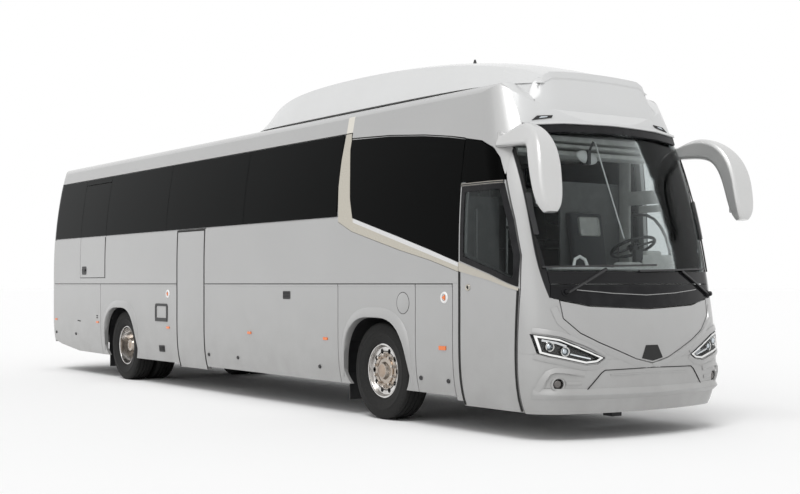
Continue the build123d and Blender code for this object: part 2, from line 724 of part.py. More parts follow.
step_rows = [
    *flight(door_rear_x + 10, 5930, (380, 630, 870), 220, stair_inner_y - 4, cab_floor_z - floor_thick),
    *flight(mid_door_rear_x + 10, mid_door_front_x - 10, (380, 620, 860, 1100, 1340), 200, mid_stair_inner_y - 4,
            floor_z - floor_thick),
]
finish(group([blocks([row]) for row in step_rows]), "entrance_steps")

liner_skin = 10
liner_outline = ((-680, 340), (-655, 800), (-420, 1100), (420, 1100), (655, 800), (680, 340))
liner_inner_y = 478
liner_outer_y = 1165
liners = []
for axle_x in (front_axle_x, rear_axle_x):
    inner_points = [(axle_x + x, z) for x, z in liner_outline]
    outer_points = [(axle_x + x * (1 + liner_skin / 680), z + (liner_skin if z > 400 else 0)) for x, z in liner_outline]
    with BuildPart() as liner:
        with BuildSketch(Plane.XZ.offset(-liner_outer_y)):
            Polygon(*outer_points, align=None)
            Polygon(*inner_points, align=None, mode=Mode.SUBTRACT)
        extrude(amount=liner_outer_y - liner_inner_y)
        with BuildSketch(Plane.XZ.offset(-liner_inner_y)):
            Polygon(*outer_points[1:5], align=None)
        extrude(amount=liner_skin)
        add(blocks([(axle_x - 668, axle_x - 655, 850, 1160, 160, 450)]))
        add(blocks([(axle_x - 700, axle_x - 655, 850, 1160, 380, 420)]))
    liners += [liner.part, liner.part.mirror(Plane.XZ)]
finish(group(liners), "wheel_arches")

# engine at the tail with its gearbox and the shaft to the axle
diff_radius = 210
with BuildPart() as engine:
    add(blocks([(-6050, -4950, -340, 340, 440, 1250)]))
    with BuildSketch(Plane.YZ.offset(-4960)):
        with Locations((0, 640)):
            Circle(200)
    extrude(amount=500)
    with BuildSketch(Plane.YZ.offset(-4480)):
        with Locations((0, 600)):
            Circle(45)
    extrude(amount=rear_axle_x - diff_radius - 25 + 4480)
finish(engine.part, "engine")

tank_round = 60
with BuildPart() as tank:
    add(blocks([(4560, 4990, 520, 1150, 420, 790)]))
    fillet(tank.edges().filter_by(Axis.Y), tank_round)
with BuildPart() as silencer:
    with BuildSketch(Plane.YZ.offset(-4900)):
        with Locations((-760, 640)):
            SlotOverall(460, 300)
    extrude(amount=750)
finish(group([tank.part, silencer.part]), "tanks")
print("underbody")

# ---------------------------------------------------------------- axles
kingpin_radius = 20
boss_radius = 45
boss_half = 60
pin_play = 0.05
beam_outline = mirror_outline(((0, 360), (560, 360), (780, 440), (kingpin_y, 445), (kingpin_y, 555), (760, 540),
                               (560, 450), (0, 450)))
bellows_radius = 100
bellows_y = 360
axle_radius = 95
spindle_radius = 60
spindle_end_y = 1010
play = 0.5
with BuildPart() as front_axle:
    with BuildSketch(Plane.YZ.offset(front_axle_x - 45)):
        Polygon(*beam_outline, align=None)
    extrude(amount=90)
    with BuildSketch(Plane.XY.offset(beam_z - boss_half)):
        with Locations((front_axle_x, kingpin_y), (front_axle_x, -kingpin_y)):
            Circle(boss_radius)
    extrude(amount=2 * boss_half)
    with BuildSketch(Plane.XY.offset(0)):
        with Locations((front_axle_x, kingpin_y), (front_axle_x, -kingpin_y)):
            Circle(kingpin_radius + pin_play)
    extrude(amount=1000, mode=Mode.SUBTRACT)
    with BuildSketch(Plane.XY.offset(440)):
        with Locations((front_axle_x, bellows_y), (front_axle_x, -bellows_y)):
            Circle(bellows_radius)
    extrude(amount=rail_foot_z - 440 - 2)
with BuildPart() as rear_axle:
    with BuildSketch(Plane.XZ.offset(-620)):
        with Locations((rear_axle_x, axle_z)):
            Circle(axle_radius)
    extrude(amount=2 * 620)
    with BuildSketch(Plane.XZ.offset(-spindle_end_y)):
        with Locations((rear_axle_x, axle_z)):
            Circle(spindle_radius)
    extrude(amount=2 * spindle_end_y)
    with BuildSketch(Plane.YZ.offset(rear_axle_x)):
        with BuildLine():
            Polyline((-190, axle_z), (190, axle_z), (130, axle_z + diff_radius - 30), (-130, axle_z + diff_radius - 30),
                     close=True)
        make_face()
    revolve(axis=Axis((rear_axle_x, 0, axle_z), (0, 1, 0)))
    for side in (-1, 1):
        add(blocks([(rear_axle_x - 460, rear_axle_x + 460, side * bellows_y - 45, side * bellows_y + 45,
                     400, 460)]))
        with BuildSketch(Plane.XY.offset(455)):
            with Locations((rear_axle_x - 400, side * bellows_y), (rear_axle_x + 400, side * bellows_y)):
                Circle(bellows_radius)
        extrude(amount=rail_foot_z - 455 - 2)
finish(group([front_axle.part, rear_axle.part]), "axles")

# ---------------------------------------------------------------- steered wheels
lug_radius = 42
lug_gap = 1
knuckle_face_y = 940
disc_radius = 215
front_spindle_radius = 40
front_spindle_end_y = 1130
arm_end_x = front_axle_x - steer_arm
arm_end_y = kingpin_y
arm_pin_radius = 12
tie_rod_z = 420
lug_rows = ((beam_z + boss_half + lug_gap, 40), (beam_z - boss_half - lug_gap - 40, 40))
with BuildPart() as knuckle:
    for z, height in lug_rows:
        with BuildSketch(Plane.XY.offset(z)):
            with Locations((front_axle_x, kingpin_y)):
                Circle(lug_radius)
            with Locations((front_axle_x, (kingpin_y + knuckle_face_y) / 2)):
                Rectangle(2 * lug_radius, knuckle_face_y - kingpin_y)
        extrude(amount=height)
    with BuildSketch(Plane.XY.offset(lug_rows[1][0])):
        with Locations((front_axle_x, kingpin_y)):
            Circle(kingpin_radius)
    extrude(amount=lug_rows[0][0] + 40 - lug_rows[1][0])
    add(blocks([(front_axle_x - lug_radius, front_axle_x + lug_radius, knuckle_face_y - 18, knuckle_face_y + 12,
                 lug_rows[1][0], lug_rows[0][0] + 40)]))
    with BuildSketch(Plane.XZ.offset(-knuckle_face_y - 34)):
        with Locations((front_axle_x, axle_z)):
            Circle(disc_radius)
    extrude(amount=24)
    with BuildSketch(Plane.XZ.offset(-front_spindle_end_y)):
        with Locations((front_axle_x, axle_z)):
            Circle(front_spindle_radius)
    extrude(amount=front_spindle_end_y - knuckle_face_y)
    with BuildSketch(Plane.XY.offset(tie_rod_z - 12)):
        Polygon((front_axle_x - 20, kingpin_y - 30), (front_axle_x - 20, kingpin_y + 30),
                (arm_end_x, arm_end_y + 22), (arm_end_x, arm_end_y - 22), align=None)
        with Locations((arm_end_x, arm_end_y)):
            Circle(22)
    extrude(amount=24)
    with BuildSketch(Plane.XY.offset(tie_rod_z - 50)):
        with Locations((arm_end_x, arm_end_y)):
            Circle(arm_pin_radius)
    extrude(amount=50)
finish(knuckle.part, "knuckle_left")
finish(knuckle.part.mirror(Plane.XZ), "knuckle_right")

far_pin_play = 3
with BuildPart() as tie_rod:
    with BuildSketch(Plane.XZ.offset(-arm_end_y)):
        with Locations((arm_end_x, tie_rod_z - 34)):
            Circle(15)
    extrude(amount=2 * arm_end_y)
    with BuildSketch(Plane.XY.offset(tie_rod_z - 49)):
        with Locations((arm_end_x, arm_end_y), (arm_end_x, -arm_end_y)):
            Circle(26)
    extrude(amount=30)
    with BuildSketch(Plane.XY.offset(tie_rod_z - 60)):
        with Locations((arm_end_x, -arm_end_y)):
            Circle(arm_pin_radius + play)
        with Locations((arm_end_x, arm_end_y)):
            Circle(arm_pin_radius + far_pin_play)
    extrude(amount=60, mode=Mode.SUBTRACT)
finish(tie_rod.part, "tie_rod")

# ---------------------------------------------------------------- wheels
# columns: radius, distance from the tyre's middle plane
tyre_profile = ((290, 112), (430, tyre_width / 2), (tyre_radius, tyre_width / 2 - 24))


def ring(points, centre_x, centre_y):
    """A body of revolution about a wheel's axle, from (radius, y) points round its section."""
    with BuildPart() as body:
        with BuildSketch(Plane.YZ.offset(centre_x)):
            with BuildLine():
                Polyline(*[(centre_y + y, axle_z + radius) for radius, y in points], close=True)
            make_face()
        revolve(axis=Axis((centre_x, 0, axle_z), (0, 1, 0)))
    return body.part


def tyre(centre_x, centre_y):
    half = [*tyre_profile]
    return ring([*half, *[(radius, -y) for radius, y in reversed(half)]], centre_x, centre_y)


barrel = 16
rim_half = rim_width / 2
hole_count = 10
hole_radius = 27
hole_circle = 215
hub_radius = 140
disc_thick = 14
disc_flat = 250
disc_dish = 30


def rim(centre_x, centre_y, disc_y, bore):
    """A wheel's barrel with its disc at disc_y from the middle plane, pierced all round."""
    with BuildPart() as wheel:
        add(ring([(rim_radius, -rim_half), (rim_radius, rim_half), (rim_radius - barrel, rim_half),
                  (rim_radius - barrel, -rim_half)], centre_x, centre_y))
        sign = 1 if disc_y > 0 else -1
        back_y = disc_y - sign * disc_thick
        add(ring([(rim_radius - barrel / 2, back_y - sign * disc_dish), (rim_radius - barrel / 2, disc_y - sign * disc_dish),
                  (disc_flat, disc_y), (bore, disc_y), (bore, back_y), (disc_flat, back_y)], centre_x, centre_y))
        with BuildSketch(Plane.XZ.offset(-centre_y + 2 * rim_half)):
            with Locations((centre_x, axle_z)):
                with PolarLocations(hole_circle, hole_count):
                    Circle(hole_radius)
        extrude(amount=-4 * rim_half, mode=Mode.SUBTRACT)
    return wheel.part


front_disc_y = 78
front_hub = ((front_spindle_radius + 2, -38), (125, -38), (125, 60), (hub_radius, 70), (hub_radius, 86), (95, 92),
             (80, 128), (0, 132), (0, 84), (front_spindle_radius + 2, 84))
twin_disc_y = 150
rear_hub = ((spindle_radius + 2, -230), (150, -230), (150, -140), (105, -140), (105, 20), (85, 62), (0, 66), (0, 20),
            (spindle_radius + 2, -10))
twin_y = wheel_centre_y - twin_spacing
front_rim = joined([rim(front_axle_x, wheel_centre_y, front_disc_y, front_spindle_radius + 2),
                    ring(front_hub, front_axle_x, wheel_centre_y)])
rear_rims = joined([rim(rear_axle_x, wheel_centre_y, -twin_disc_y, spindle_radius + 2),
                    rim(rear_axle_x, twin_y, twin_disc_y, spindle_radius + 2),
                    ring(rear_hub, rear_axle_x, wheel_centre_y)])
wheel_pieces = {
    "tyre_front": [tyre(front_axle_x, wheel_centre_y)],
    "tyre_rear": [tyre(rear_axle_x, wheel_centre_y), tyre(rear_axle_x, twin_y)],
    "rim_front": [front_rim],
    "rim_rear": [rear_rims],
}
for name, pieces in wheel_pieces.items():
    finish(group(pieces), f"{name}_left")
    finish(group([piece.mirror(Plane.XZ) for piece in pieces]), f"{name}_right")
print("wheels")

# ---------------------------------------------------------------- inside
dash_outline = ((5560, 1060), (5900, 1060), (5985, 1300), (5960, 1440), (5760, 1520), (5560, 1460))
with BuildPart() as dash:
    with BuildSketch(Plane.XZ.offset(-1090)):
        Polygon(*dash_outline, align=None)
    extrude(amount=1090 + 460)
column_tilt = 25
wheel_hub = (5650, 550, 1800)
column_radius = 28
with BuildPart() as column:
    with BuildSketch(Plane(origin=wheel_hub, z_dir=(math.sin(math.radians(column_tilt)), 0,
                                                     -math.cos(math.radians(column_tilt)))).offset(45)):
        Circle(column_radius)
    extrude(amount=330)
finish(joined([dash.part, column.part]), "dashboard")
steer_plane = Plane(origin=wheel_hub, x_dir=(0, 1, 0), z_dir=(-math.sin(math.radians(column_tilt)), 0,
                                                              math.cos(math.radians(column_tilt))))
wheel_radius = 225
grip_radius = 15
with BuildPart() as steering_wheel:
    with BuildSketch(Plane(origin=wheel_hub, x_dir=(0, 1, 0), z_dir=steer_plane.x_dir.cross(steer_plane.z_dir))):
        with Locations((wheel_radius, 0)):
            RegularPolygon(grip_radius, 8)
    revolve(axis=Axis(wheel_hub, tuple(steer_plane.z_dir)))
    with BuildSketch(steer_plane.offset(-40)):
        Circle(45)
    extrude(amount=55)
    with BuildSketch(steer_plane.offset(-12)):
        with PolarLocations(wheel_radius / 2, 4, start_angle=45):
            Rectangle(wheel_radius, 26)
    extrude(amount=14)
finish(steering_wheel.part, "steering_wheel")

seat_pitch = 790
seat_inner_y = 225
seat_outer_y = 1125
cushion_z = 1820
cushion_thick = 110
seat_back_top = 2560
back_lean = 130
back_thick = 95


def seat(x, y0, y1, base_z):
    """A cushion on its pedestal and a leaning back, facing forward from x."""
    cushion_top = base_z + cushion_z - floor_z + cushion_thick
    with BuildPart() as cushion:
        with BuildSketch(Plane.XZ.offset(-y1)):
            Polygon((x, cushion_top - cushion_thick), (x + 450, cushion_top - cushion_thick), (x + 450, cushion_top),
                    (x, cushion_top - 20), align=None)
        extrude(amount=y1 - y0)
    with BuildPart() as back:
        with BuildSketch(Plane.XZ.offset(-y1)):
            top = base_z + seat_back_top - floor_z
            Polygon((x - 5, cushion_top - cushion_thick), (x - 5, cushion_top - 10), (x - back_lean, top),
                    (x - back_lean - back_thick + 20, top), (x - back_thick - 5, cushion_top - cushion_thick),
                    align=None)
        extrude(amount=y1 - y0)
    return cushion.part, back.part


row_count = 12
first_row_x = 3750
cushions, backs, legs = [], [], []
for row in range(row_count):
    x = first_row_x - row * seat_pitch
    for side in (-1, 1):
        y0, y1 = sorted((side * seat_inner_y, side * seat_outer_y))
        if side < 0 and mid_door_rear_x - 500 < x < mid_door_front_x + 260:
            continue
        cushion, back = seat(x, y0, y1, floor_z)
        cushions.append(cushion)
        backs.append(back)
        legs.append(blocks([(x + 60, x + 380, (y0 + y1) / 2 - 300, (y0 + y1) / 2 + 300, floor_z + 1, cushion_z - 1)]))
driver_x = 5100
driver_cushion, driver_back = seat(driver_x, 320, 780, cab_floor_z)
finish(group([*cushions, driver_cushion]), "seat_cushions")
finish(group([*backs, driver_back]), "seat_backs")
legs.append(blocks([(driver_x + 50, driver_x + 350, 430, 670, cab_floor_z + 1, cab_floor_z + cushion_z - floor_z - 1)]))
finish(group(legs), "seat_frames")

rack_rows = both_sides([(-5900, 4300, 720, 1075, 2790, 2900)])
finish(group([blocks([row]) for row in rack_rows]), "luggage_racks")
partition_rows = [(4860, 4885, 260, 1180, floor_z + 2, 2500), (4860, 4885, -1180, -560, floor_z + 2, 2300)]
finish(group([blocks([row]) for row in partition_rows]), "partitions")
print("inside")

# ---------------------------------------------------------------- mirrors and wipers
# Mirror horn: sections from its root on the body, forward and down to its tip.
# columns: x, y, z, fall of the horn (degrees), width across the coach, depth
mirror_sections = (
    (5560, 1075, 2800, 0, 100, 200),
    (5960, 1150, 2790, 4, 120, 195),
    (6190, 1195, 2730, 30, 175, 195),
    (6320, 1232, 2590, 62, 245, 185),
    (6388, 1252, 2400, 80, 268, 170),
    (6432, 1256, 2190, 82, 240, 145),
    (6452, 1250, 2060, 82, 130, 90),
)
mirror_gap = 3
mirror_round = 42
with BuildPart() as mirror_horn:
    for x, y, z, fall, across, depth in mirror_sections:
        turn = math.radians(fall)
        with BuildSketch(Plane(origin=(x, y, z), x_dir=(0, 1, 0), z_dir=(math.cos(turn), 0, -math.sin(turn)))):
            RectangleRounded(across, depth, mirror_round)
    loft()
    add(body_form(-mirror_gap), mode=Mode.SUBTRACT)
finish(mirrored(mirror_horn.part), "mirrors")

wiper_outlines = (
    ((-905, 1345), (-875, 1345), (-440, 1560), (-450, 1580)),
    ((-1080, 1575), (-1080, 1592), (180, 1618), (180, 1600)),
    ((1038, 1318), (1008, 1318), (560, 1545), (572, 1562)),
    ((1000, 1570), (1000, 1587), (-60, 1560), (-60, 1543)),
)
wiper_shell = shell(body_form(-26), body_form(-4))
finish(group([cut_from(wiper_shell, end_prism([outline])) for outline in wiper_outlines]), "wipers")
print("mirrors and wipers")
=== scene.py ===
import math

import bmesh
import bpy
from mathutils import Matrix, Vector
from mathutils.bvhtree import BVHTree


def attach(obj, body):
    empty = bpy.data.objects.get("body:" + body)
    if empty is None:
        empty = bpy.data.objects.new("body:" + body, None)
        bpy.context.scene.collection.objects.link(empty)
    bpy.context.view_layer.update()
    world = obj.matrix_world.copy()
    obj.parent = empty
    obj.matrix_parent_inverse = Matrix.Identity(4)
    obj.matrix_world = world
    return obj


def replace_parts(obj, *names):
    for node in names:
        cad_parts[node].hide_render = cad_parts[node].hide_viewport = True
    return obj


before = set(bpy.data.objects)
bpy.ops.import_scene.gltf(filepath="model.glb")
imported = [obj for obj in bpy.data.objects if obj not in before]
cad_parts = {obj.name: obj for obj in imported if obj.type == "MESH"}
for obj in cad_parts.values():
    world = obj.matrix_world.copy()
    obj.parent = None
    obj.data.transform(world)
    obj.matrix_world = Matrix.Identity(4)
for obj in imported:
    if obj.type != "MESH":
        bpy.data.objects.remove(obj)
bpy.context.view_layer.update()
print("frame loaded")


# a node's output, wrapped so that sums and masks read as sums
class Flow:
    def __init__(self, nodes, out):
        self.nodes = nodes
        self.out = out

    def maths(self, operation, *others):
        return self.nodes.node("ShaderNodeMath", {"operation": operation}, self, *others)

    def __add__(self, other):
        return self.maths("ADD", other)

    def __radd__(self, other):
        return self.maths("ADD", other)

    def __sub__(self, other):
        return self.maths("SUBTRACT", other)

    def __rsub__(self, other):
        return self.nodes.node("ShaderNodeMath", {"operation": "SUBTRACT"}, other, self)

    def __mul__(self, other):
        return self.maths("MULTIPLY", other)

    def __rmul__(self, other):
        return self.maths("MULTIPLY", other)

    def above(self, limit, soft=0.002):  # 1 where the value is over the limit, with a soft edge
        limits = (limit - soft, limit + soft)
        return self.nodes.node("ShaderNodeMapRange", {"clamp": True}, self, *limits, 0.0, 1.0)

    def below(self, limit, soft=0.002):
        return 1.0 - self.above(limit, soft)

    def size(self):
        return self.maths("ABSOLUTE")

    def parts(self):  # a vector's x, y and z
        first = self.nodes.node("ShaderNodeSeparateXYZ", {}, self)
        return [Flow(self.nodes, out) for out in first.out.node.outputs]


# a node tree in which every new node comes from one method
class Nodes:
    def __init__(self, tree):
        self.tree = tree

    def node(self, kind, settings, *values, out=0, at=None, **named):
        # values fill the sockets in their order, at fills them by number and named by name
        made = self.tree.nodes.new(kind)
        for key, value in settings.items():
            setattr(made, key, value)
        for socket, value in zip(made.inputs, values):
            self.feed(socket, value)
        for number, value in (at or {}).items():
            self.feed(made.inputs[number], value)
        for key, value in named.items():
            self.feed(made.inputs[key.replace("_", " ")], value)
        return Flow(self, made.outputs[out])

    def feed(self, socket, value):
        if isinstance(value, Flow):
            self.tree.links.new(value.out, socket)
        else:
            socket.default_value = value

    def present(self, name):  # what a node that is already there gives
        return Flow(self, self.tree.nodes[name].outputs[0])

    def finishAt(self, name, shader):
        self.feed(self.tree.nodes[name].inputs["Surface"], shader)


# a Principled material that is built up from flows
class Finish(Nodes):
    def __init__(self, name, **fixed):
        self.material = bpy.data.materials.new(name)
        self.material.use_nodes = True
        super().__init__(self.material.node_tree)
        self.shader = self.tree.nodes["Principled BSDF"]
        for key, value in fixed.items():
            self.set(key.replace("_", " "), value)
        self.place = self.node("ShaderNodeTexCoord", {}, out="Object")
        self.x, self.y, self.z = self.place.parts()

    def set(self, name, value):
        self.feed(self.shader.inputs[name], value)

    def blend(self, mask, under, over):  # a colour that turns from under to over where the mask is 1
        under, over = [(*c, 1.0) if isinstance(c, tuple) else c for c in (under, over)]
        return self.node("ShaderNodeMix", {"data_type": "RGBA"}, mask, at={6: under, 7: over}, out=2)

    def noise(self, scale, detail=3.0, stretch=None):
        where = self.place
        if stretch:
            where = self.node("ShaderNodeMapping", {}, self.place, Scale=stretch)
        return self.node("ShaderNodeTexNoise", {}, Vector=where, Scale=scale, Detail=detail, Roughness=0.55)

    def done(self, colour, rough, height, strength, distance):  # strength and distance are the bump's
        self.set("Base Color", colour)
        self.set("Roughness", rough)
        self.set("Normal", self.node("ShaderNodeBump", {}, strength, distance, Height=height))
        return self.material


def shaded(shade, share, lift=0.0):
    return tuple(min(1.0, c * share + lift) for c in shade)


# the silver's dust colour, and the height under which it comes in, make the paint darker towards the bottom:
# painted shade, with some dust
paintLook = dict(
    silver=(0.40, 0.40, 0.398), cloud=(0.55, 0.56, 0.55), dust=(0.27, 0.265, 0.255),
    black=(0.012, 0.012, 0.013), strip=(0.72, 0.69, 0.62), white=(0.61, 0.615, 0.615),
    whiteDust=(0.50, 0.50, 0.49), metal=0.55, rough=0.28, coat=0.6, shadeAndDustUpTo=0.75,
)


def silverPaint(name, blackAbove=None, chromeStrip=None, shade=paintLook["silver"]):
    f = Finish(name, Coat_Weight=paintLook["coat"], Coat_Roughness=0.05,
               Specular_IOR_Level=0.22 if blackAbove else 0.5)
    flake = f.noise(900.0, 1.0)
    cloud = f.noise(0.7, 2.0)
    # darker towards the bottom, in blotches: painted shade for the dark floor's reflection, with some dust,
    # which also makes the paint rougher and less metallic
    darkening = f.z.below(paintLook["shadeAndDustUpTo"], 0.65) * (0.35 + 0.65 * f.noise(3.2, 5.0).above(0.45, 0.2))
    colour = f.blend(flake.above(0.5, 0.12), shaded(shade, 0.93), shaded(shade, 1.07))
    colour = f.blend(cloud.above(0.55, 0.2) * 0.15, colour, paintLook["cloud"])
    colour = f.blend(darkening * 0.6, colour, paintLook["dust"])
    rough = paintLook["rough"] + 0.22 * darkening + 0.05 * cloud
    metal = paintLook["metal"] - 0.3 * darkening
    if blackAbove:
        black = blackAbove(f)
        colour = f.blend(black, colour, paintLook["black"])
        rough = rough * (1.0 - black) + 0.09 * black
        f.set("Coat Weight", paintLook["coat"] - 0.55 * black)
        metal = metal * (1.0 - black)
    if chromeStrip:
        strip = chromeStrip(f)
        colour = f.blend(strip, colour, paintLook["strip"])
        metal = metal * (1.0 - strip) + 0.95 * strip
    f.set("Metallic", metal)
    return f.done(colour, rough, f.noise(1.4, 1.0), 0.05, 0.01)


def whitePaint(name):
    f = Finish(name, Coat_Weight=0.35, Coat_Roughness=0.08)
    dust = f.noise(1.3, 4.0).above(0.52, 0.2)
    colour = f.blend(dust * 0.12, paintLook["white"], paintLook["whiteDust"])
    return f.done(colour, 0.3 + 0.12 * dust, f.noise(1.1, 1.0), 0.05, 0.01)


glassLook = dict(mirror=(0.86, 0.88, 0.88, 1.0), plain=(0.82, 0.84, 0.84, 1.0), print=(0.01, 0.01, 0.011, 1.0))


def coachGlass(name, tint, frit=None, clearer=None, index=1.2):
    # frit masks black print on the glass, and clearer masks the panes with less tint
    f = Finish(name, Metallic=1.0)
    f.set("Base Color", glassLook["mirror"])
    f.set("Roughness", 0.02 + 0.03 * f.noise(2.0, 2.0))
    mirrorShare = f.node("ShaderNodeFresnel", {}, IOR=index)
    clear = f.node("ShaderNodeBsdfTransparent", {}, (*tint, 1.0))
    if clearer:
        plain = f.node("ShaderNodeBsdfTransparent", {}, glassLook["plain"])
        clear = f.node("ShaderNodeMixShader", {}, clearer(f), clear, plain)
    made = f.node("ShaderNodeMixShader", {}, mirrorShare, clear, f.present("Principled BSDF"))
    if frit:
        black = f.node("ShaderNodeBsdfPrincipled", {}, Base_Color=glassLook["print"], Roughness=0.06,
                       Specular_IOR_Level=0.2)
        made = f.node("ShaderNodeMixShader", {}, frit(f), made, black)
    f.finishAt("Material Output", made)
    return f.material


def rubber(name, shade, rough=0.75):
    f = Finish(name, Specular_IOR_Level=0.25)
    speck = f.noise(60.0, 5.0)
    worn = (shade * 2.0, shade * 1.95, shade * 1.85)
    colour = f.blend(speck.above(0.55, 0.15), (shade, shade, shade), worn)
    return f.done(colour, rough - 0.12 + 0.24 * speck, f.noise(180.0, 3.0), 0.25, 0.001)


alongZ = (1.0, 1.0, 18.0)  # stretch of the grain in brushed metal


def brightMetal(name, shade, rough=0.16, brushed=0.0):
    f = Finish(name, Metallic=1.0)
    grain = f.noise(40.0, 4.0, alongZ) if brushed else f.noise(25.0, 3.0)
    colour = f.blend(grain.above(0.5, 0.2), shade, shaded(shade, 0.86))
    return f.done(colour, rough + 0.14 * grain, grain, 0.04 + brushed * 0.1, 0.001)


belt = dict(startX=3.25, endX=5.155, endZ=1.594, slope=0.262, bright=(0.70, 0.70, 0.70),
            champagne=((0.56, 0.53, 0.46), (0.50, 0.47, 0.41)))


def beltMetal(name):  # the strip under the front window: bright above a champagne line
    f = Finish(name, Metallic=1.0)
    middle = (belt["endX"] - f.x) * belt["slope"] + belt["endZ"]
    upper = (f.z - middle).above(0.0, 0.002) * f.x.above(belt["startX"], 0.02)
    grain = f.noise(40.0, 4.0, alongZ)
    colour = f.blend(upper, f.blend(grain.above(0.5, 0.2), *belt["champagne"]), belt["bright"])
    return f.done(colour, 0.20 + 0.14 * grain, grain, 0.1, 0.001)


# the wheels' places, which paint, pieces and arches share
axle = dict(front=3.685, rear=-3.215, height=0.512, face=1.05, innerFace=0.71)
# the ring just outside the hub is dark as painted shadow of the hub's edge
discLook = dict(hub=0.196, hubShadowRing=(0.198, 0.211), polished=((0.82, 0.81, 0.80), (0.62, 0.61, 0.60)),
                hubShade=(0.52, 0.46, 0.40), hubShadowColour=(0.03, 0.028, 0.026), darkening=(0.26, 0.24, 0.22))


def wheelMetal(name):  # polished metal with the warm hub of a coach wheel, and a dark ring round the hub that is painted shadow of the hub's edge
    f = Finish(name, Metallic=1.0)
    height = f.z - axle["height"]
    lengths = [f.x - axle[end] for end in ("front", "rear")]
    toFront, toRear = [(length * length + height * height).maths("SQRT") for length in lengths]
    radius = toFront.maths("MINIMUM", toRear)
    inner, outer = discLook["hubShadowRing"]
    hubShadowRing = radius.above(inner, 0.003) * radius.below(outer, 0.004)
    lines = (radius * 900.0).maths("SINE").above(0.0, 0.8)  # fine marks of the lathe
    colour = f.blend(lines * 0.35, *discLook["polished"])
    colour = f.blend(radius.below(discLook["hub"], 0.004), colour, discLook["hubShade"])
    # a dark, rough ring round the hub: painted shadow of the hub's edge
    colour = f.blend(hubShadowRing, colour, discLook["hubShadowColour"])
    colour = f.blend(f.noise(7.0, 4.0).above(0.5, 0.25) * 0.5, colour, discLook["darkening"])
    return f.done(colour, 0.13 + 0.16 * f.noise(25.0, 3.0) + 0.3 * hubShadowRing, lines, 0.08, 0.0005)


def painted(name, shade, rough=0.5, grain=220.0, strength=0.15, gloss=0.5):
    f = Finish(name, Specular_IOR_Level=gloss)
    wear = f.noise(9.0, 5.0)
    colour = f.blend(wear.above(0.56, 0.12) * 0.4, shade, shaded(shade, 1.5, 0.01))
    return f.done(colour, rough - 0.06 + 0.14 * wear, f.noise(grain, 2.0), strength, 0.001)


def seatCloth(name):
    f = Finish(name, Sheen_Weight=0.4)
    weave = f.node("ShaderNodeTexWave", {"wave_type": "BANDS", "bands_direction": "DIAGONAL"}, Vector=f.place,
                   Scale=160.0)
    dots = f.node("ShaderNodeTexVoronoi", {}, Vector=f.place, Scale=26.0)
    colour = f.blend(dots.below(0.22, 0.05), (0.080, 0.080, 0.085), (0.115, 0.115, 0.12))
    return f.done(colour, 0.9, weave, 0.3, 0.001)


def lampGlass(name, shade, glow=0.0):
    f = Finish(name, Coat_Weight=0.8, Emission_Strength=glow)
    ribs = f.node("ShaderNodeTexWave", {"bands_direction": "Z"}, Vector=f.place, Scale=60.0)
    f.set("Emission Color", (*shade, 1.0))
    return f.done(f.blend(ribs * 0.4, shade, shaded(shade, 0.55)), 0.08, ribs, 0.3, 0.001)


# where paint and glass change over their nodes
printing = dict(edgeY=1.112, narrowing=0.25, narrowBelow=1.9, maskFoot=1.302, maskHead=2.85, screenFoot=1.545,
                screenHead=2.87, stripX=(2.937, 3.062), stripTop=3.27, driverX=5.15)


def blackMask(f):  # black beside the windscreen; the pillar behind it stays bright
    low = (printing["narrowBelow"] - f.z).maths("MAXIMUM", 0.0).maths("POWER", 2.5)
    edge = printing["edgeY"] - printing["narrowing"] * low - f.y.size()
    normalX, normalY, _ = f.node("ShaderNodeNewGeometry", {}, out="True Normal").parts()
    outward = normalX + normalY * f.y.maths("SIGN")
    tall = f.z.above(printing["maskFoot"], 0.003) * f.z.below(printing["maskHead"], 0.004)
    return edge.above(0.0, 0.003) * tall * outward.above(0.0)


def pillarStrip(f):  # the bright strip that runs up the body side onto the roof's edge
    back, ahead = printing["stripX"]
    return f.x.above(back, 0.003) * f.x.below(ahead, 0.003) * f.z.below(printing["stripTop"], 0.004)


def screenBand(f):  # black print along the foot and the head of the windscreen
    foot, head = f.z.below(printing["screenFoot"], 0.006), f.z.above(printing["screenHead"], 0.02)
    return (foot + head).maths("MINIMUM", 1.0)


def driverWindow(f):  # the clear glass beside the driver
    return f.x.above(printing["driverX"], 0.002) * f.y.above(0.0)


